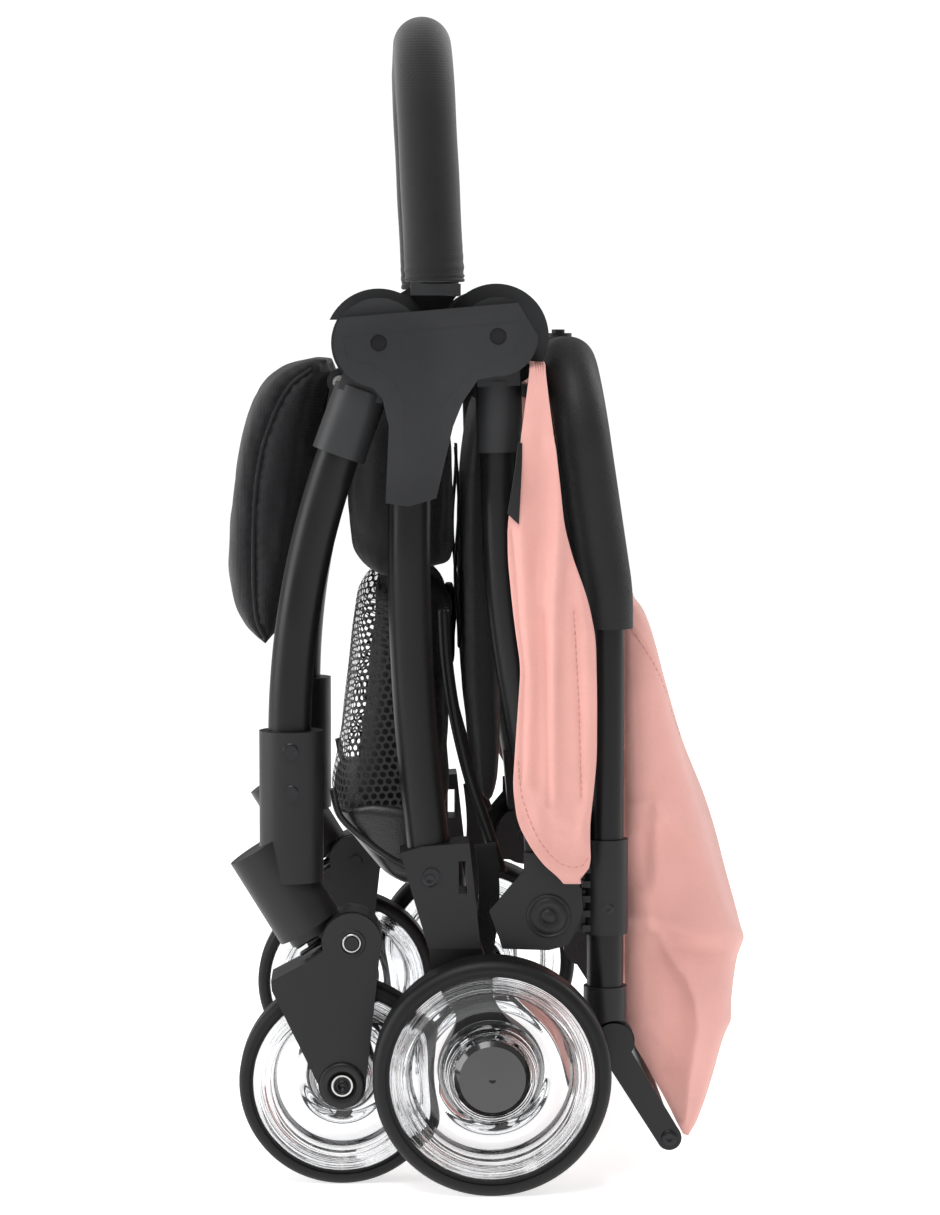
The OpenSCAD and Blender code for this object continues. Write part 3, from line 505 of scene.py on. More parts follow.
def tube(path, radius, across, sides=16, flat=1.0):
    """A closed tube round a path: a circle in the plane of `across` and the direction at
    right angles to both it and the path, with end rows drawn in to a point."""
    path = np.asarray(path, float)
    radius = np.broadcast_to(np.asarray(radius, float), len(path))
    along = unit(np.gradient(path, axis=0))
    side = unit(across - along * np.sum(across * along, axis=-1, keepdims=True))
    up = np.cross(along, side)
    angle = np.linspace(0, 2 * np.pi, sides, endpoint=False)
    ring = side[:, None] * np.cos(angle)[:, None] + flat * up[:, None] * np.sin(angle)[:, None]
    body = path[:, None] + ring * radius[:, None, None]
    ends = [np.repeat(path[k][None, None], sides, axis=1) for k in (0, -1)]
    return np.concatenate([ends[0], body, ends[1]])


def lathe(profile, x, z, y, side, sides=64, turn=0.0):
    """A profile of (radius, height) turned about an axis along Y at (x, z): height counts
    outwards from y, to the left for side -1 and to the right for side 1."""
    profile = np.asarray(profile, float)
    angle = np.linspace(0, 2 * np.pi, sides, endpoint=False) + turn
    r, h = profile[:, :1], profile[:, 1:]
    return np.stack(
        [x + r * np.cos(angle), y + side * h + 0 * angle, z + r * np.sin(angle)], axis=-1
    )


def box_mm(part):
    low, high = (np.array(corner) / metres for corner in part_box(part))
    return low, high


def centre_mm(part):
    low, high = box_mm(part)
    return (low + high) / 2


# %% [markdown]
# Small fittings sit on faces that the CAD parts already have. A plumb line from outside
# tells where that face is: a ray along Y, and the first hard part that it meets.


# %% Where a side face is
def hard_tree():
    """All hard CAD parts in one tree for rays."""
    soft = "canopy_fabric rear_panel seat_base seat_back basket leg_rest_pad harness".split()
    points, faces, start = [], [], 0
    for part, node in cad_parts.items():
        if part in soft:
            continue
        mesh = node.data
        mesh.calc_loop_triangles()
        co = np.empty(len(mesh.vertices) * 3)
        mesh.vertices.foreach_get("co", co)
        tri = np.empty(len(mesh.loop_triangles) * 3, dtype=np.int32)
        mesh.loop_triangles.foreach_get("vertices", tri)
        points.append(co.reshape(-1, 3))
        faces.append(tri.reshape(-1, 3) + start)
        start += len(mesh.vertices)
    return BVHTree.FromPolygons(np.concatenate(points).tolist(), np.concatenate(faces).tolist())


hard = hard_tree()


def face_y(x, z, side):
    """The y of the outermost hard face at (x, z), on the left (-1) or the right (1)."""
    hit = hard.ray_cast(Vector((x * metres, side * 0.4, z * metres)), Vector((0, -side, 0)))
    return hit[0].y / metres


print("left hub face at y", round(face_y(*centre_mm("hub_left")[[0, 2]], -1), 1))

# %% [markdown]
# ## Creases
# Folded cloth is not random: it has a few long creases that run from where it is held to
# where it hangs. Each crease is a line drawn on the side of the cloth, and it lifts the cloth
# by a bell of the distance to that line. A narrow bell is a sharp fold, a wide one a soft one,
# and a negative lift is a valley.


# %% Distance to a line, and creases
def line_distance(points, line):
    """Distance in the plane from each point to a polyline: the least over its segments of
    the distance to the nearest point of the segment."""
    line = np.asarray(line, float)
    start, step = line[:-1], np.diff(line, axis=0)
    away = points[..., None, :] - start
    share = np.clip(np.sum(away * step, axis=-1) / np.sum(step * step, axis=-1), 0, 1)
    return np.linalg.norm(away - share[..., None] * step, axis=-1).min(axis=-1)


def creases(points, folds):
    """Sum of lift * exp(-(distance / width)^power) over the folds (line, lift, width, power)."""
    total = np.zeros(points.shape[:-1])
    for line, lift, width, power in folds:
        total += lift * np.exp(-((line_distance(points, line) / width) ** power))
    return total


def ripples(points, seed, size, octaves=3):
    """A sum of sine waves in seeded random directions, each octave half as long and half as
    high as the one before: gentle unevenness with no grid in it."""
    dice = np.random.default_rng(seed)
    total = np.zeros(points.shape[:-1])
    for octave in range(octaves):
        angle, phase = dice.uniform(0, 2 * np.pi, (2, 4))
        turned = points[..., 0, None] * np.cos(angle) + points[..., 1, None] * np.sin(angle)
        waves = np.sin(turned * 2 * np.pi * 2**octave / size + phase)
        total += waves.mean(axis=-1) / 2**octave
    return total


# %% [markdown]
# ## The padded leg rest
# The leg rest is a cushion over a plastic board. It is thickest near the top, its sides pull
# in towards the piped seam, and the cover puckers along that seam because it is gathered
# into it. It starts as a superellipse carried down the middle of its profile, a little too
# thin. A cloth simulation with air pressure inside then swells it, as filling would, and
# the seam groove, the puckers and the piping are added after, because the voxel remesh would
# lose them.


# %% Cushions
def cushion_grid(front, back, half_width, rows=72, cols=96, square=0.5, round_end=16.0, width=None):
    """Each row is a superellipse: x and z go from the middle line towards the front or the
    back line by |cos|^square, y goes to the half width by |sin|^square. Near both ends the
    row shrinks by a quarter circle."""
    f, b = smooth_line(front, rows), smooth_line(back, rows)
    middle, half = (f + b) / 2, (f - b) / 2
    walked = np.append(0, np.cumsum(np.linalg.norm(np.diff(middle, axis=0), axis=1)))
    near_end = np.clip(np.minimum(walked, walked[-1] - walked) / round_end, 0, 1)
    grow = np.sqrt(1 - (1 - near_end) ** 2)[:, None]
    angle = np.linspace(0, 2 * np.pi, cols, endpoint=False)
    c = np.sign(np.cos(angle)) * np.abs(np.cos(angle)) ** square
    s = np.sign(np.sin(angle)) * np.abs(np.sin(angle)) ** square
    wide = half_width if width is None else half_width * np.interp(walked / walked[-1], *width)[:, None]
    x = middle[:, :1] + half[:, :1] * c * grow
    z = middle[:, 1:] + half[:, 1:] * c * grow
    y = s * (wide - round_end * 0.6 * (1 - grow))
    return np.stack([x, y, z], axis=-1)


def mesh_points(mesh):
    co = np.empty(len(mesh.vertices) * 3)
    mesh.vertices.foreach_get("co", co)
    return co.reshape(-1, 3) / metres


def set_mesh_points(mesh, points):
    mesh.vertices.foreach_set("co", (points * metres).ravel())
    mesh.update()


def settled(piece):
    """The piece's mesh with its modifiers applied."""
    bpy.context.view_layer.update()
    shown = piece.evaluated_get(bpy.context.evaluated_depsgraph_get())
    mesh = bpy.data.meshes.new_from_object(shown)
    piece.modifiers.clear()
    piece.data = mesh
    mesh.polygons.foreach_set("use_smooth", np.ones(len(mesh.polygons), dtype=bool))
    return mesh


def puffed(piece, voxel=5.0, pressure=4.0, cap=7.0):
    """Swells a closed piece: voxel remesh, Cloth with pressure and no gravity for 20 frames,
    no point further than `cap` from where it began, and one subdivision."""
    remesh = piece.modifiers.new("voxels", "REMESH")
    remesh.mode = "VOXEL"
    remesh.voxel_size = voxel * metres
    before = mesh_points(settled(piece))
    cloth = piece.modifiers.new("air", "CLOTH")
    cloth.settings.use_pressure = True
    cloth.settings.uniform_pressure_force = pressure
    cloth.settings.effector_weights.gravity = 0.0
    scene = bpy.context.scene
    for step in range(1, 21):
        scene.frame_set(step)
    mesh = settled(piece)
    scene.frame_set(1)
    moved = mesh_points(mesh) - before
    length = np.linalg.norm(moved, axis=1, keepdims=True)
    set_mesh_points(mesh, before + moved * np.minimum(1, cap / np.maximum(length, 1e-6)))
    piece.modifiers.new("finer", "SUBSURF").levels = render_levels
    settled(piece)
    print(piece.name, "swelled by up to", round(float(length.max()), 1), "mm")


# %% Leg rest
rest_front = [
    (-99, 508), (-118, 503.5), (-133, 494), (-145, 476), (-152.5, 452), (-157, 428),
    (-159.5, 404), (-160.5, 379), (-158.5, 355), (-152.5, 336), (-141, 322),
]
rest_back = [
    (-98, 504), (-104, 494), (-106.5, 484), (-111, 462), (-113.5, 440), (-116.5, 420),
    (-119, 400), (-122.5, 378), (-127, 358), (-132, 340), (-136, 325),
]
rest_half = 134.0
rest_grid = cushion_grid(rest_front, rest_back, rest_half, square=0.42, round_end=15.0)
leg_rest = surface("leg_rest_cushion", rest_grid, black_cloth, "leg_rest", round_cols=True)
puffed(leg_rest, cap=5.0)


def outer_face(piece_tree, x, z, side):
    hit = piece_tree.ray_cast(Vector((x * metres, side * 0.4, z * metres)), Vector((0, -side, 0)))
    return hit[0].y / metres if hit[0] else None


def tree_of(piece):
    return BVHTree.FromObject(piece, bpy.context.evaluated_depsgraph_get())


# %% [markdown]
# The seam runs down each side about a third of the way back. The cover is pulled into it,
# so points near the line move inwards, and every few millimetres along it the pull changes:
# those are the puckers. The piping is a thin round cord laid in the groove.

# %% Seam, puckers and piping
seam_line = smooth_line(
    [(-112, 497), (-124, 488), (-132, 476), (-138, 462), (-143, 446), (-146.5, 425),
     (-148, 404), (-148.5, 380), (-148, 356), (-146, 340), (-141, 329)], 140,
)
bpy.context.view_layer.update()
mesh = leg_rest.data
points = mesh_points(mesh)
flat = points[:, [0, 2]]
near = np.linalg.norm(flat[:, None] - seam_line, axis=2)
distance, along = near.min(axis=1), near.argmin(axis=1) * 1.45
on_side = np.clip((np.abs(points[:, 1]) - rest_half + 22) / 16, 0, 1)
pucker = np.sin(along * 2 * np.pi / 9.0 + 1.7 * np.sin(along / 13.0))
groove = -3.2 * np.exp(-((distance / 2.6) ** 2))
gather = 1.0 * pucker * np.exp(-((distance / 9.0) ** 2)) * (distance > 1.5)
drape = ripples(points[:, [0, 2]] * [1.0, 0.45], 4, 42.0) * 1.6
front_puff = ripples(points[:, [1, 2]] * [0.6, 0.5], 9, 60.0) * 1.8
points[:, 1] += np.sign(points[:, 1]) * on_side * (groove + gather + drape)
points[:, 0] += (1 - on_side) * front_puff * np.clip((-100 - points[:, 0]) / 20, 0, 1)
set_mesh_points(mesh, points)
bpy.context.view_layer.update()
rest_tree = tree_of(leg_rest)
pipings = []
for side in (-1, 1):
    ys = np.array([outer_face(rest_tree, x, z, side) or side * rest_half for x, z in seam_line])
    ys = np.convolve(np.pad(ys, 4, mode="edge"), np.ones(9) / 9, mode="valid")
    path = np.stack([seam_line[:, 0], ys + side * 0.7, seam_line[:, 1]], axis=-1)
    pipings.append(tube(path, 1.5, np.array([0, 1.0, 0]), sides=10))
joined("leg_rest_piping", pipings, black_cloth, "leg_rest")
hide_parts("leg_rest_pad")

# %% [markdown]
# ## The sleeve on the carry bar
# A foam tube under a knit sleeve covers the carry bar. Its lower hems have slid down a
# little, so the knit stands in small rolls there. The path goes up one side, round a
# quarter circle, and over to the other side; the rolls are waves in its radius that die
# away above the hem.

# %% Carry bar sleeve
bar_lean = math.radians(2.8)
bar_foot = np.array([-36.1, 541.5])
side_y, corner, side_high = 175.0, 52.0, 102.1
t = np.linspace(0, 1, 60)
turn = np.linspace(0, np.pi / 2, 24)[1:]
up = np.stack([np.full(60, -side_y), 9.5 + (side_high - 9.5) * t], axis=-1)
bend = np.stack([-side_y + corner * (1 - np.cos(turn)), side_high + corner * np.sin(turn)], axis=-1)
across = np.stack([np.linspace(-side_y + corner, 0, 30)[1:], np.full(29, side_high + corner)], axis=-1)
half_path = np.concatenate([up, bend, across])
path_2d = np.concatenate([half_path, half_path[:-1][::-1] * [-1, 1]])
sleeve_path = np.stack(
    [
        bar_foot[0] - path_2d[:, 1] * math.sin(bar_lean),
        path_2d[:, 0],
        bar_foot[1] + path_2d[:, 1] * math.cos(bar_lean),
    ],
    axis=-1,
)
from_hem = np.minimum(path_2d[:, 1], 80) - 9.5
roll = np.exp(-from_hem / 7.0) * np.sin(from_hem * 2 * np.pi / 6.5 + 1.0) * 0.8
hem_end = np.clip(from_hem / 1.5, 0, 1) ** 0.5
radius = (17.9 + roll + 0.12 * np.sin(path_2d[:, 1] / 9.0)) * (0.93 + 0.07 * hem_end)
sleeve_grid = tube(sleeve_path, radius, np.array([1.0, 0, 0]), sides=56)
surface("carry_bar_sleeve", sleeve_grid, sleeve_knit, "carry_bar", round_cols=True)
hem_paths = []
for side in (-1, 1):
    ring = np.linspace(0, 2 * np.pi, 49)
    hem_x, hem_z = bar_foot[0] - 9.4 * math.sin(bar_lean), bar_foot[1] + 9.4
    hem_paths.append(
        np.stack(
            [hem_x + 17.2 * np.cos(ring), side * side_y + 17.2 * np.sin(ring), 0 * ring + hem_z], axis=-1
        )
    )
joined(
    "carry_bar_hems", [tube(p, 1.1, np.array([0, 0, 1.0]), sides=8) for p in hem_paths],
    sleeve_knit, "carry_bar",
)

# %% [markdown]
# ## The canopy
# Folded, the canopy is one sheet that goes up the left side, over the top between the
# handle and its bow, and down the right side. Its sides hang nearly flat with soft pleats;
# over the top, the roof cloth hangs down between the bars in deep folds. The grid's rows
# follow that arch, and its columns go from the handle to the front hem. Most columns lie
# in a narrow band beside the bow: when the canopy opens, that band turns into the roof.

# %% The arch and the outline
hinge = np.array([49.0, 206.0])
bow_normal = np.array([0.9961, 0.0888])
flap_y, arch_top, arch_corner = 204.2, 500.0, 14.0
front_edge = np.array(
    [(20.1, 497), (17, 475), (14.4, 455), (13.2, 437), (6.7, 407), (6.7, 384), (10.3, 348),
     (14.6, 318), (12.2, 283), (9.8, 246), (12.8, 223), (24.3, 203), (37, 190.5)]
)
handle_edge = np.array(
    [(29.1, 497), (30.5, 485), (33, 467), (36.6, 440), (40.3, 403), (46, 384), (55.4, 357),
     (59.7, 335), (60.5, 300), (60.5, 264), (58, 238), (56, 221), (57.5, 197), (52, 188), (44, 187)]
)
rows_up, rows_bend, rows_over = 130, 14, 70
low_z = 187.0
climb = np.linspace(low_z, arch_top - arch_corner, rows_up)
bend_a = np.linspace(0, np.pi / 2, rows_bend + 1)[1:]
arch_z = np.concatenate([climb, arch_top - arch_corner + arch_corner * np.sin(bend_a)])
arch_y = np.concatenate([np.full(rows_up, -flap_y), -flap_y + arch_corner * (1 - np.cos(bend_a))])
over_y = np.linspace(-flap_y + arch_corner, 0, rows_over // 2)[1:]
arch_z = np.append(arch_z, np.full(len(over_y), arch_top))
arch_y = np.append(arch_y, over_y)
arch_z = np.concatenate([arch_z, arch_z[:-1][::-1]])
arch_y = np.concatenate([arch_y, -arch_y[:-1][::-1]])
front_x = np.interp(-arch_z, -front_edge[:, 1], front_edge[:, 0])
handle_x = np.interp(-arch_z, -handle_edge[:, 1], handle_edge[:, 0])
front_x = np.where(arch_z < 190.5, np.interp(arch_z, [187, 190.5], [44, 37]), front_x)


# %% Canopy sheet
def blurred(values, reach):
    """A running mean, with the ends held."""
    window = np.ones(2 * reach + 1) / (2 * reach + 1)
    return np.convolve(np.pad(values, reach, mode="edge"), window, mode="valid")


front_x, handle_x = blurred(front_x, 3), blurred(handle_x, 3)
to_bow = hinge[0] - (arch_z - hinge[1]) * bow_normal[1] / bow_normal[0]
fan_band = 6.0
shares = np.concatenate([np.linspace(0, 1, 14), np.linspace(1, 2, 37)[1:], np.linspace(2, 3, 29)[1:]])
band_end = np.minimum(to_bow + fan_band, handle_x - 0.5)
stops_x = np.stack([handle_x, band_end, np.maximum(to_bow, front_x + 1), front_x], axis=-1)
whole = np.minimum(shares.astype(int), 2)
part = shares - whole
canopy_x = stops_x[:, whole] * (1 - part) + stops_x[:, whole + 1] * part
over = np.clip((flap_y - np.abs(arch_y)) / 50.0, 0, 1)
over = (over * over * (3 - 2 * over))[:, None]
pleats = 0.5 - 0.5 * np.cos(np.clip(shares - 1, 0, 1) * 2 * np.pi * 4)
side_points = np.stack(np.broadcast_arrays(canopy_x, arch_z[:, None]), axis=-1)
canopy_folds = [
    ([(37, 450), (37.5, 400), (34, 352), (33, 300), (33, 240)], 4.6, 5.0, 2.0),
    ([(27, 470), (27, 420), (24, 370), (27, 320), (25, 250)], -1.0, 4.5, 2.0),
    ([(28, 350), (30, 330), (31, 280), (31.5, 236)], -3.2, 2.2, 1.4),
    ([(13, 440), (15, 400), (17, 350), (20, 300), (19, 250), (27, 216)], 2.4, 5.0, 2.0),
    ([(9, 400), (11.5, 380), (14, 345), (17.5, 315), (16, 280), (15, 250)], -1.6, 1.6, 1.5),
    ([(48, 375), (54, 340), (55, 300), (55.5, 250), (52, 215)], 2.2, 4.0, 2.0),
    ([(46.4, 353), (49.5, 300), (51.5, 238)], -1.3, 1.5, 1.5),
    ([(20, 228), (30, 214), (42, 206), (52, 204)], -1.6, 5.0, 2.0),
    ([(27, 240), (38, 226), (50, 222)], 1.6, 4.0, 2.0),
    ([(24, 205), (38, 193), (52, 190)], 1.4, 3.5, 2.0),
]
lift = 1.6 + np.maximum(creases(side_points, canopy_folds), -1.4)
lift += 0.5 * ripples(side_points * [1.0, 0.35], 3, 26.0)
hang = 52.0 * pleats[None, :] + 8.0 * np.clip(1 - shares, 0, 1)[None, :] ** 2
tangent = np.stack([np.gradient(arch_y), np.gradient(arch_z)], axis=-1)
tangent = unit(tangent)
outward = np.stack([-tangent[:, 1], tangent[:, 0]], axis=-1)
away = lift * (1 - over) + (1.0 + ripples(side_points, 5, 60.0)) * over * 0.5 - hang * over
canopy_y = arch_y[:, None] + outward[:, :1] * away
canopy_z = arch_z[:, None] + outward[:, 1:] * away
canopy_grid = np.stack([canopy_x, canopy_y, canopy_z], axis=-1)


def flat_cloth(grid):
    """The sheet laid flat: each point's distance along its row and along its column."""
    rows = np.linalg.norm(np.diff(grid, axis=1), axis=-1)
    cols = np.linalg.norm(np.diff(grid, axis=0), axis=-1)
    u = np.concatenate([np.zeros((len(grid), 1)), np.cumsum(rows, axis=1)], axis=1)
    v = np.concatenate([np.zeros((1, grid.shape[1])), np.cumsum(cols, axis=0)], axis=0)
    return np.stack([u, v.mean(axis=1, keepdims=True) + 0 * u], axis=-1)


def cloth_sheet(name, grid, finish, body, thick=1.0):
    """A sheet with its UV map in metres, and a thin wall."""
    piece = surface(name, grid, finish, body, cloth=flat_cloth(grid), tidy=False)
    wall = piece.modifiers.new("wall", "SOLIDIFY")
    wall.thickness = thick * metres
    wall.offset = 0.0
    return piece


canopy = cloth_sheet("canopy_cloth", canopy_grid[:, ::-1], pink_cloth, None)
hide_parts("canopy_fabric")

# %% [markdown]
# The hems are stitched. A stitch is a short, flattened length of thread, so a seam is a row
# of small tubes laid on the cloth along a line, each with a gap after it.


# %% Stitches
def stitches(name, sheet_tree, lines, finish, body, length=2.6, gap=1.5, thick=0.32):
    """Each line is cut into steps of a stitch and a gap; a stitch is a four-sided tube of
    three points, raised on the cloth's outer face at each point."""
    grids = []
    for line, side in lines:
        path = smooth_line(line, 400)
        walked = np.append(0, np.cumsum(np.linalg.norm(np.diff(path, axis=0), axis=1)))
        starts = np.arange(0.5, walked[-1] - length, length + gap)
        at = starts[:, None] + np.array([0.0, 0.5, 1.0]) * length
        xs, zs = np.interp(at, walked, path[:, 0]), np.interp(at, walked, path[:, 1])
        for x3, z3 in zip(xs, zs):
            ys = [outer_face(sheet_tree, x, z, side) for x, z in zip(x3, z3)]
            if None in ys:
                continue
            raised = np.array(ys) + side * thick * np.array([0.2, 0.9, 0.2])
            stitch = np.stack([x3, raised, z3], axis=-1)
            grids.append(tube(stitch, thick, np.array([0, 1.0, 0]), sides=4))
    return joined(name, grids, finish, body)


bpy.context.view_layer.update()
canopy_tree = tree_of(canopy)
hem_line = [(13.2, 262), (14.0, 250), (16.5, 236), (25.6, 214), (38.4, 199.5), (50.5, 197.5), (55.5, 203)]
flap_seam_line = [(46.4, 353), (49.5, 300), (51.5, 238)]
canopy_stitches = stitches(
    "canopy_stitches", canopy_tree,
    [(line, side) for side in (-1, 1) for line in (hem_line, flap_seam_line)],
    thread_pink, "handle",
)

# %% [markdown]
# A plain woven tag is sewn into the front hem on the left side. It is a small strip that
# curls away from the cloth.

# %% Tag
tag_t = np.linspace(0, 1, 16)
tag_left = smooth_line([(12.8, 454), (10.6, 437), (6.3, 411)], 16)
tag_right = smooth_line([(15.0, 453), (14.6, 437), (13.2, 404.5)], 16)
share = np.linspace(0, 1, 8)[None, :, None]
tag_xz = tag_left[:, None] * (1 - share) + tag_right[:, None] * share
tag_face = np.array([outer_face(canopy_tree, x + 3, z, -1) or -208.0 for x, z in tag_left])
tag_y = tag_face[:, None] - 0.8 - 1.6 * (1 - share[..., 0]) - 1.2 * np.sin(tag_t * np.pi)[:, None]
tag_grid = np.stack([tag_xz[..., 0], tag_y, tag_xz[..., 1]], axis=-1)
tag = surface("canopy_tag", tag_grid, tag_cloth, "canopy", tidy=False)
tag.modifiers.new("wall", "SOLIDIFY").thickness = 0.7 * metres

# %% [markdown]
# ## The pink back
# The cover of the backrest is one broad sheet. It leaves one tube, goes out round the
# folded seat and comes back to the other tube, so each level of it is half of a rounded
# box. It hangs slack, and its creases fan out from where it is pinched behind the clamp.

# %% Back cover
outer_line = [
    (82, 371), (89.5, 355.5), (98.8, 343), (106.9, 321.5), (114.4, 294), (123.8, 260),
    (136.3, 225.5), (148.9, 185), (160.6, 146), (159.8, 128.8), (155.2, 94.4), (149.2, 72.5),
    (140.3, 47.4), (131, 28.6), (122.5, 20.5),
]
inner_line = [
    (80.5, 369), (81, 345), (81, 320), (81, 290), (81, 262), (81, 232), (81, 205), (81, 176),
    (81, 152), (81, 132), (81.5, 105), (84, 86), (95, 66), (107, 44), (117.5, 24),
]
cover_rows, cover_cols, cover_half = 170, 220, 160.0
outer_2d, inner_2d = smooth_line(outer_line, cover_rows), smooth_line(inner_line, cover_rows)
angle = np.linspace(0, np.pi, cover_cols)
out_share = np.sin(angle) ** 0.42
back_y = -cover_half * np.sign(np.cos(angle)) * np.abs(np.cos(angle)) ** 0.42
cover_xz = inner_2d[:, None] + (outer_2d - inner_2d)[:, None] * out_share[None, :, None]
cover_folds = [
    ([(82, 345), (99.6, 319.5), (109, 298), (121, 268), (133, 232)], 2.0, 2.6, 1.3),
    ([(95, 159), (110, 153), (130, 149), (158, 147)], 4.6, 7.0, 1.3),
    ([(97, 152), (112, 141), (130, 137), (152, 134)], -3.4, 7.0, 2.0),
    ([(95, 159), (108, 138), (119, 122), (124.6, 108), (126.5, 90), (121, 60), (118, 32)], 4.8, 4.2, 1.2),
    ([(102, 134), (113, 112), (115, 90), (110, 62)], -3.6, 8.0, 2.0),
    ([(137, 118), (139, 90), (130, 52)], -2.0, 9.0, 2.0),
    ([(95, 161), (91, 176), (87, 190), (86, 226)], 2.8, 3.4, 1.3),
    ([(95, 161), (100, 190), (100, 230)], 2.6, 4.0, 1.3),
    ([(86, 226), (93, 232), (99.6, 232), (104, 222)], 2.4, 3.0, 1.3),
    ([(93, 180), (94, 210)], -2.4, 3.6, 2.0),
    ([(103, 221), (122, 208), (145, 197)], 2.2, 6.0, 1.5),
    ([(104, 205), (120, 190), (140, 178)], -2.2, 8.0, 2.0),
    ([(87, 176), (93.5, 161), (91, 141), (84, 126)], 5.0, 4.6, 1.6),
    ([(82, 104), (88.5, 80), (94, 93), (108, 77)], 2.2, 3.4, 1.4),
    ([(92, 300), (93, 260), (91, 236)], 1.8, 8.0, 2.0),
]
side_lift = creases(cover_xz, cover_folds)
side_lift += 0.7 * ripples(cover_xz, 21, 46.0)
back_points = np.stack(
    np.broadcast_arrays(back_y[None, :], cover_xz[..., 1] + 0.35 * back_y[None, :]), axis=-1
)
back_lift = 2.6 * ripples(back_points * [1.0, 0.55], 33, 150.0, 3)
sag_line = [(-150, 150), (-70, 128), (0, 122), (70, 128), (150, 150)]
straight = np.stack(np.broadcast_arrays(back_y[None, :], cover_xz[..., 1]), axis=-1)
back_lift += creases(straight, [(sag_line, 3.5, 9.0, 1.5), ([(-150, 92), (0, 70), (150, 92)], 2.5, 8.0, 1.5)])
facing_side = np.clip((np.abs(back_y) - 128) / 26, 0, 1)[None, :]
held = np.minimum(1, out_share * 5)[None, :]
cover_x = cover_xz[..., 0] + (back_lift - 2.0) * (1 - facing_side) * held
cover_y = back_y[None, :] + np.sign(back_y)[None, :] * side_lift * facing_side * held
cover_grid = np.stack(np.broadcast_arrays(cover_x, cover_y, cover_xz[..., 1]), axis=-1)
back_cover = cloth_sheet("back_cover", cover_grid, pink_cloth, "backrest")
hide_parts("rear_panel")
bpy.context.view_layer.update()
cover_tree = tree_of(back_cover)
cover_stitches = stitches(
    "back_cover_stitches", cover_tree,
    [([(84, 338), (99.0, 315), (108.2, 294), (120, 264)], side) for side in (-1, 1)],
    thread_pink, "backrest",
)

# %% [markdown]
# ## Seat, backrest pad and basket
# Between the frames the seat is folded double. Its base and back are thin pads in black
# cloth, crumpled by the fold. They are cushions as before, with ripples that run mostly
# down the cloth. The basket below is a bag of hexagonal net on a coated tray.


# %% Folded pads
def crumpled(grid, seed, size, high):
    """Moves each point out from the middle of its row by ripples of its place."""
    middle = grid.mean(axis=1, keepdims=True)
    out = unit((grid - middle) * [1.0, 0.15, 1.0])
    place = np.stack([grid[..., 0] * 1.6 + grid[..., 1], grid[..., 2] * 0.4], axis=-1)
    return grid + out * high * ripples(place, seed, size)[..., None]


def with_cloth(name, grid, finish, body):
    """A closed piece with a UV map in metres: its first column is drawn again at the end."""
    full = np.concatenate([grid, grid[:, :1]], axis=1)
    return surface(name, full, finish, body, cloth=flat_cloth(full))


seat_front = [(-58, 482), (-76, 478), (-87, 450), (-90, 420), (-87, 392), (-83, 371), (-72, 368)]
seat_rear = [(-50, 483), (-34, 480), (-25, 453), (-23.5, 420), (-24, 395), (-27, 376), (-56, 369)]
seat_grid = crumpled(cushion_grid(seat_front, seat_rear, 138.0, square=0.4), 2, 60.0, 2.5)
seat = with_cloth("seat_base_pad", seat_grid, seat_cloth, "rear_frame")
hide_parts("seat_base")

pad_front = [(-9, 476), (-15, 440), (-17.5, 397), (-17, 350), (-16, 300), (-12, 260), (-9, 228)]
pad_rear = [(-4, 476), (-1, 440), (1, 400), (2.5, 350), (5, 304), (5, 262), (3, 228)]
pad_grid = crumpled(cushion_grid(pad_front, pad_rear, 144.0, square=0.4), 7, 70.0, 1.5)
back_pad = with_cloth("backrest_pad", pad_grid, seat_cloth, "push_frame")
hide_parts("seat_back")

# %% [markdown]
# The net is knitted in hexagons. Instead of thousands of small holes in the mesh, the finish
# makes them: the distance to the nearest centre of two interleaved grids of points gives
# hexagonal cells, and inside a cell the cloth is clear.


# %% Net and coated cloth
def netting(name, colour, pitch):
    """A hole is where the nearer of two rectangular lattices, offset by half a cell and
    1 by the root of 3 in shape, has its centre within 0.37 of a pitch."""
    finish = Finish(name, colour, Roughness=0.7)
    across, down, _ = finish.axes(finish.cloth_place())
    root = math.sqrt(3)
    near = []
    for offset in (0.0, 0.5):
        u = (across / pitch + offset).maths("FRACT") - 0.5
        v = (down / (pitch * root) + offset).maths("FRACT") - 0.5
        near.append((u * u + v * v * 3.0).maths("SQRT"))
    distance = near[0].maths("MINIMUM", near[1])
    strand = distance.maths("GREATER_THAN", 0.36)
    finish.set("Alpha", strand)
    # Painted highlight and shade: each strand is lighter along its middle, away from the holes, and darker at
    # the hole edges.
    finish.tint(distance * 1.6, 0.7, 1.5)
    finish.relief(distance, 0.4)
    return finish


net = netting("basket_net", (0.018, 0.018, 0.019), 0.0052)
coated_cloth = moulded("coated_cloth", (0.02, 0.02, 0.022), 0.26, 900.0, 0.25, 0.5)
basket_front = [(-82, 360), (-87, 330), (-91, 298), (-96, 258), (-100, 226), (-84, 204)]
basket_rear = [(-62, 361), (-45, 342), (-33, 322), (-30, 262), (-30, 226), (-36, 200)]
net_grid = crumpled(cushion_grid(basket_front, basket_rear, 142.0, square=0.36), 12, 80.0, 2.0)
net_bag = with_cloth("basket_net_bag", net_grid, net, "rear_frame")
tray_front = [(-100, 232), (-99, 219), (-86, 202), (-70, 184), (-63, 178)]
tray_rear = [(-30, 222), (-30, 212), (-34, 198), (-38, 184), (-42, 178)]
tray_grid = crumpled(cushion_grid(tray_front, tray_rear, 145.0, square=0.34, round_end=8.0), 15, 70.0, 1.2)
surface("basket_tray", tray_grid, coated_cloth, "rear_frame", round_cols=True)
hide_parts("basket")
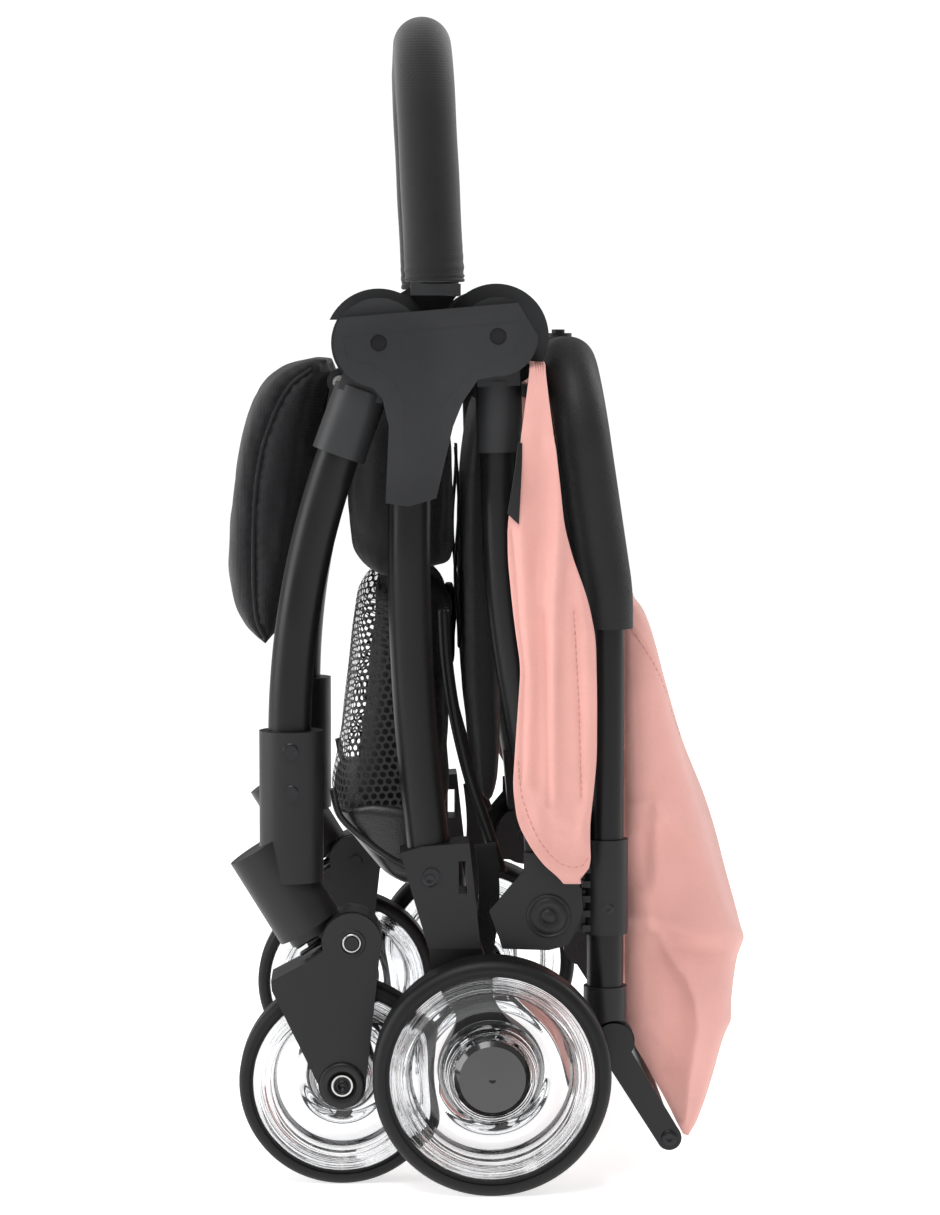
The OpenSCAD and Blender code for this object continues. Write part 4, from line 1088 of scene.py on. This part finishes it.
# Painted shade: a black cloth bag inside the net stands in for the shade inside the basket, so the holes of
# the net show dark instead of the white beyond.
shade_bag_front = [(-70, 372), (-72, 340), (-76, 300), (-80, 262), (-84, 232), (-78, 206)]
shade_bag_rear = [(-50, 374), (-27, 352), (-27, 322), (-27, 262), (-28, 226), (-36, 202)]
shade_bag_grid = crumpled(cushion_grid(shade_bag_front, shade_bag_rear, 126.0, square=0.4), 27, 60.0, 3.0)
shade_bag = with_cloth("basket_shade_bag", shade_bag_grid, seat_cloth, "rear_frame")
rim_paths = []
for side in (-1, 1):
    line = smooth_line([(-99.5, 238), (-95, 221), (-80, 206), (-60, 192), (-40, 186)], 60)
    rim_paths.append(np.stack([line[:, 0], 0 * line[:, 0] + side * 144.5, line[:, 1]], axis=-1))
joined(
    "basket_binding", [tube(p, 2.2, np.array([0, 1.0, 0]), sides=10) for p in rim_paths],
    coated_cloth, "rear_frame",
)

# %% [markdown]
# ## Straps
# The harness straps are flat webbing, modelled directly as thin closed bands that wave a
# little, with a rounded buckle between them. A second web hangs by each rear leg.


# %% Bands and buckle
def band(path, width, thick, sideways):
    """A closed band: a flat superellipse, `width` along `sideways`, carried on the path."""
    path = np.asarray(path, float)
    along = unit(np.gradient(path, axis=0))
    wide = unit(np.asarray(sideways, float) - along * (along @ np.asarray(sideways, float))[:, None])
    deep = np.cross(along, wide)
    angle = np.linspace(0, 2 * np.pi, 20, endpoint=False)
    c = np.sign(np.cos(angle)) * np.abs(np.cos(angle)) ** 0.25
    s = np.sign(np.sin(angle)) * np.abs(np.sin(angle)) ** 0.6
    ring = path[:, None] + wide[:, None] * (c * width / 2)[:, None] + deep[:, None] * (s * thick / 2)[:, None]
    ends = [np.repeat(path[k][None, None], 20, axis=1) for k in (0, -1)]
    return np.concatenate([ends[0], ring, ends[1]])


strap_t = np.linspace(0, 1, 50)
straps = []
for y in (-45.0, 45.0):
    x = -20.4 + 1.2 * np.sin(strap_t * 9 + y)
    straps.append(band(np.stack([x, y + 0 * x, 446 - 128 * strap_t], axis=-1), 30, 1.8, (0, 1, 0)))
harness_straps = joined("harness_straps", straps, webbing, "push_frame")
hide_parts("harness")


def power(values, exponent):
    """The power of the size of each value, with its sign kept."""
    return np.sign(values) * np.abs(values) ** exponent


buckle_a, buckle_b = np.meshgrid(
    np.linspace(-np.pi / 2, np.pi / 2, 25), np.linspace(0, 2 * np.pi, 48, endpoint=False), indexing="ij"
)
buckle_grid = np.stack(
    [
        -24.7 + 3.6 * power(np.sin(buckle_a), 0.5),
        23.0 * power(np.cos(buckle_a), 0.3) * power(np.cos(buckle_b), 0.45),
        329.5 + 26.5 * power(np.cos(buckle_a), 0.3) * power(np.sin(buckle_b), 0.45),
    ],
    axis=-1,
)
surface("harness_buckle", buckle_grid, casting_nylon, "push_frame", round_cols=True)
leg_webs = []
for side in (-1, 1):
    t = np.linspace(0, 1, 30)
    path = np.stack([-5.5 + 2.5 * np.sin(t * 5), side * (157.5 + 1.5 * np.sin(t * 4)), 205 - 95 * t], axis=-1)
    leg_webs.append(band(path, 13, 1.6, (1, 0, 0)))
joined("rear_leg_web", leg_webs, webbing, "rear_frame")
wire_paths = []
for side in (-1, 1):
    line = smooth_line([(-31, 350), (-29, 318), (-24, 284), (-15, 246), (-3, 210), (5, 186)], 60)
    wire_paths.append(np.stack([line[:, 0], 0 * line[:, 0] + side * 151.5, line[:, 1]], axis=-1))
joined(
    "seat_wire", [tube(p, 3.8, np.array([0, 1.0, 0]), sides=16) for p in wire_paths],
    frame_tube, "rear_frame",
)

# %% [markdown]
# ## Wheels
# A clear rim is one moulding: a barrel under the tyre, a stepped flange, a thin disc and a
# ring round the hub. Turning one closed profile about the axle gives it all, and each step
# in the profile becomes one of the bright rings.


# %% Clear rims
def rim_profile(radius, half, bore, ring):
    """Half the section, from the barrel to the bore, then its mirror image back."""
    outer = np.array(
        [
            (radius, 0), (radius, half - 1.5), (radius - 0.8, half - 0.4), (radius - 2.4, half),
            (radius - 3.2, half - 0.9), (radius - 4.0, half - 2.2), (radius - 5.0, half - 2.4),
            (radius - 5.6, half - 1.6), (radius - 6.6, half - 1.7), (radius - 7.2, half - 3.0),
            (radius - 8.6, half - 4.2), (radius - 9.6, half - 4.1), (radius - 10.4, half - 6.0),
            (radius - 11.4, 2.4), (radius - 12.2, 1.4), (ring + 1.8, 1.3), (ring + 1.2, 2.6),
            (ring + 0.9, half - 5.5), (ring + 0.2, half - 5.0), (ring - 0.9, half - 5.0),
            (ring - 1.6, half - 6.0), (ring - 1.8, 2.4), (ring - 2.4, 1.4), (bore, 1.4),
        ]
    )
    back = outer[::-1] * [1, -1]
    return np.concatenate([outer, back[:-1]])


for side, hand in ((-1, "left"), (1, "right")):
    for end, ring, sides in (("rear", 26.5, 160), ("front", 15.0, 144)):
        part = f"{end}_rim_{hand}"
        low, high = box_mm(part)
        middle = centre_mm(part)
        radius, half = (high[0] - low[0]) / 2, (high[1] - low[1]) / 2
        profile = rim_profile(radius, half, 7.5, ring)
        grid = lathe(profile, middle[0], middle[2], middle[1], side, sides)
        rim = surface(f"{part}_moulding", grid, clear_rim, f"{end}_wheel_{hand}", True, True)
        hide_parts(part)
print("rims turned")

# %% [markdown]
# ## Fasteners
# Rivets hold the castings to the tubes, and socket screws hold the arms. They are small,
# but they catch the light. Each is a profile turned about a line along Y, seated on the face
# that the plumb line finds; a screw's socket is turned round, as part of the same profile.


# %% Rivets, screws and bosses
def rivet(r):
    return [(r, -0.6), (r, 0.5), (0.92 * r, 0.9), (0.7 * r, 1.3), (0.36 * r, 1.6), (0.3 * r, 1.35), (0, 1.3)]


def seated(name, profile, x, z, finish, body, seat=0.0, sides=64, turn=0.0):
    """The same fitting on the left and the right, as one piece per side of the body."""
    for side, hand in ((-1, "left"), (1, "right")):
        grid = lathe(profile, x, z, face_y(x + seat, z, side), side, sides, turn)
        surface(f"{name}_{hand}", grid, finish, body.replace("SIDE", hand), round_cols=True)


seated("front_casting_rivet_high", rivet(4.6), -124.2, 267.6, rivet_black, "front_frame", 5.5)
seated("front_casting_rivet_low", rivet(4.0), -123.7, 242.6, rivet_black, "front_frame", 5.0)
seated("rear_casting_rivet", rivet(4.8), -40.2, 188.6, rivet_black, "rear_frame", 6.0)
seated("clamp_rivet", rivet(4.3), 68.0, 169.9, rivet_black, "handle", 5.5)
seated("arm_rivet", rivet(5.0), 106.5, 27.5, rivet_black, "backrest", 2.0)
swivel_ring = [(5.8, -1), (5.8, 0.5), (5.2, 1.0), (4.5, 0.8), (4.2, 0.2), (3.6, 0.2), (3.3, 1.1),
               (2.7, 1.2), (2.35, 0.8), (2.3, -0.5), (0, -0.5)]
seated("fork_screw", swivel_ring, -87.5, 150.0, steel, "suspension_SIDE", 7.5)
seated("fork_screw_washer", [(8.4, -1), (8.4, 0.15), (7.9, 0.45), (6.0, 0.4), (5.9, -0.5), (0, -0.6)],
       -87.5, 150.0, rivet_black, "suspension_SIDE", 10.0)
axle_boss = [(13.9, -1), (13.9, 1.6), (13.3, 2.3), (12.4, 2.6), (9.2, 2.6), (8.5, 2.2), (8.1, 0.4),
             (0, 0.4)]
seated("axle_boss", axle_boss, -93.5, 63.0, casting_nylon, "suspension_SIDE", 9.5)
boss_screw = [(5.4, 0.2), (5.4, 1.2), (4.9, 1.6), (4.2, 1.3), (3.9, 0.8), (3.5, 0.8), (3.2, 1.6),
              (2.7, 1.7), (2.4, 1.3), (2.3, 0.4), (0, 0.4)]
seated("axle_screw", boss_screw, -93.5, 63.0, rivet_black, "suspension_SIDE")
hinge_cap = [(13.3, -1), (13.3, 0.9), (12.7, 1.5), (12.0, 1.3), (11.6, 0.5), (11.0, 0.6), (10.6, 1.2),
             (5.4, 1.4), (5.0, 0.8), (4.6, 0.9), (4.4, 1.8), (3.4, 2.6), (1.4, 3.0), (0, 3.0)]
seated("hinge_cap", hinge_cap, 32.0, 166.0, casting_nylon, "push_frame", 8.0)

# %% [markdown]
# ## Caster springs
# A small coil spring shows between each front casting and its fork. A helix is a circle
# whose centre moves along the axis as it turns.

# %% Springs
spring_top, spring_low = np.array([-116.5, 153.0]), np.array([-103.5, 132.5])
axis_2d = (spring_low - spring_top) / np.linalg.norm(spring_low - spring_top)
for side, hand in ((-1, "left"), (1, "right")):
    turns = np.linspace(0, 2 * np.pi * 5, 220)
    share = turns / turns[-1]
    axis = np.array([axis_2d[0], 0, axis_2d[1]])
    first, second = np.array([axis[2], 0, -axis[0]]), np.array([0, 1.0, 0])
    middle = np.stack([spring_top[0] + share * (spring_low - spring_top)[0], 0 * share + side * 178.0,
                       spring_top[1] + share * (spring_low - spring_top)[1]], axis=-1)
    spoke = first * np.cos(turns)[:, None] + second * np.sin(turns)[:, None]
    grid = tube(middle + 8.2 * spoke, 1.3, spoke, sides=10)
    surface(f"caster_spring_{hand}", grid, rivet_black, f"caster_{hand}", round_cols=True)

# %% [markdown]
# ## Floor and finish
# The floor is a wide pale sheet that catches soft shadows. Last, the canopy's cloth has its
# placement baked into its points.

# %% Floor
floor_paint = Finish("floor", (0.92, 0.92, 0.925), Roughness=0.6)
floor_paint.shader.inputs["Emission Color"].default_value = (1.0, 1.0, 1.0, 1.0)
floor_paint.shader.inputs["Emission Strength"].default_value = 0.7
floor_paint.tint(floor_paint.spread(floor_paint.noise(floor_paint.place(), 2.0), 0.0, 1.0), 0.99, 1.0)
floor_grid = np.stack(
    np.broadcast_arrays(*np.meshgrid(np.linspace(-9000, 9000, 7), np.linspace(-9000, 9000, 7)), 0.0), axis=-1
)
floor = surface("floor", floor_grid, floor_paint, None, tidy=False)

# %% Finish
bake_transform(canopy)
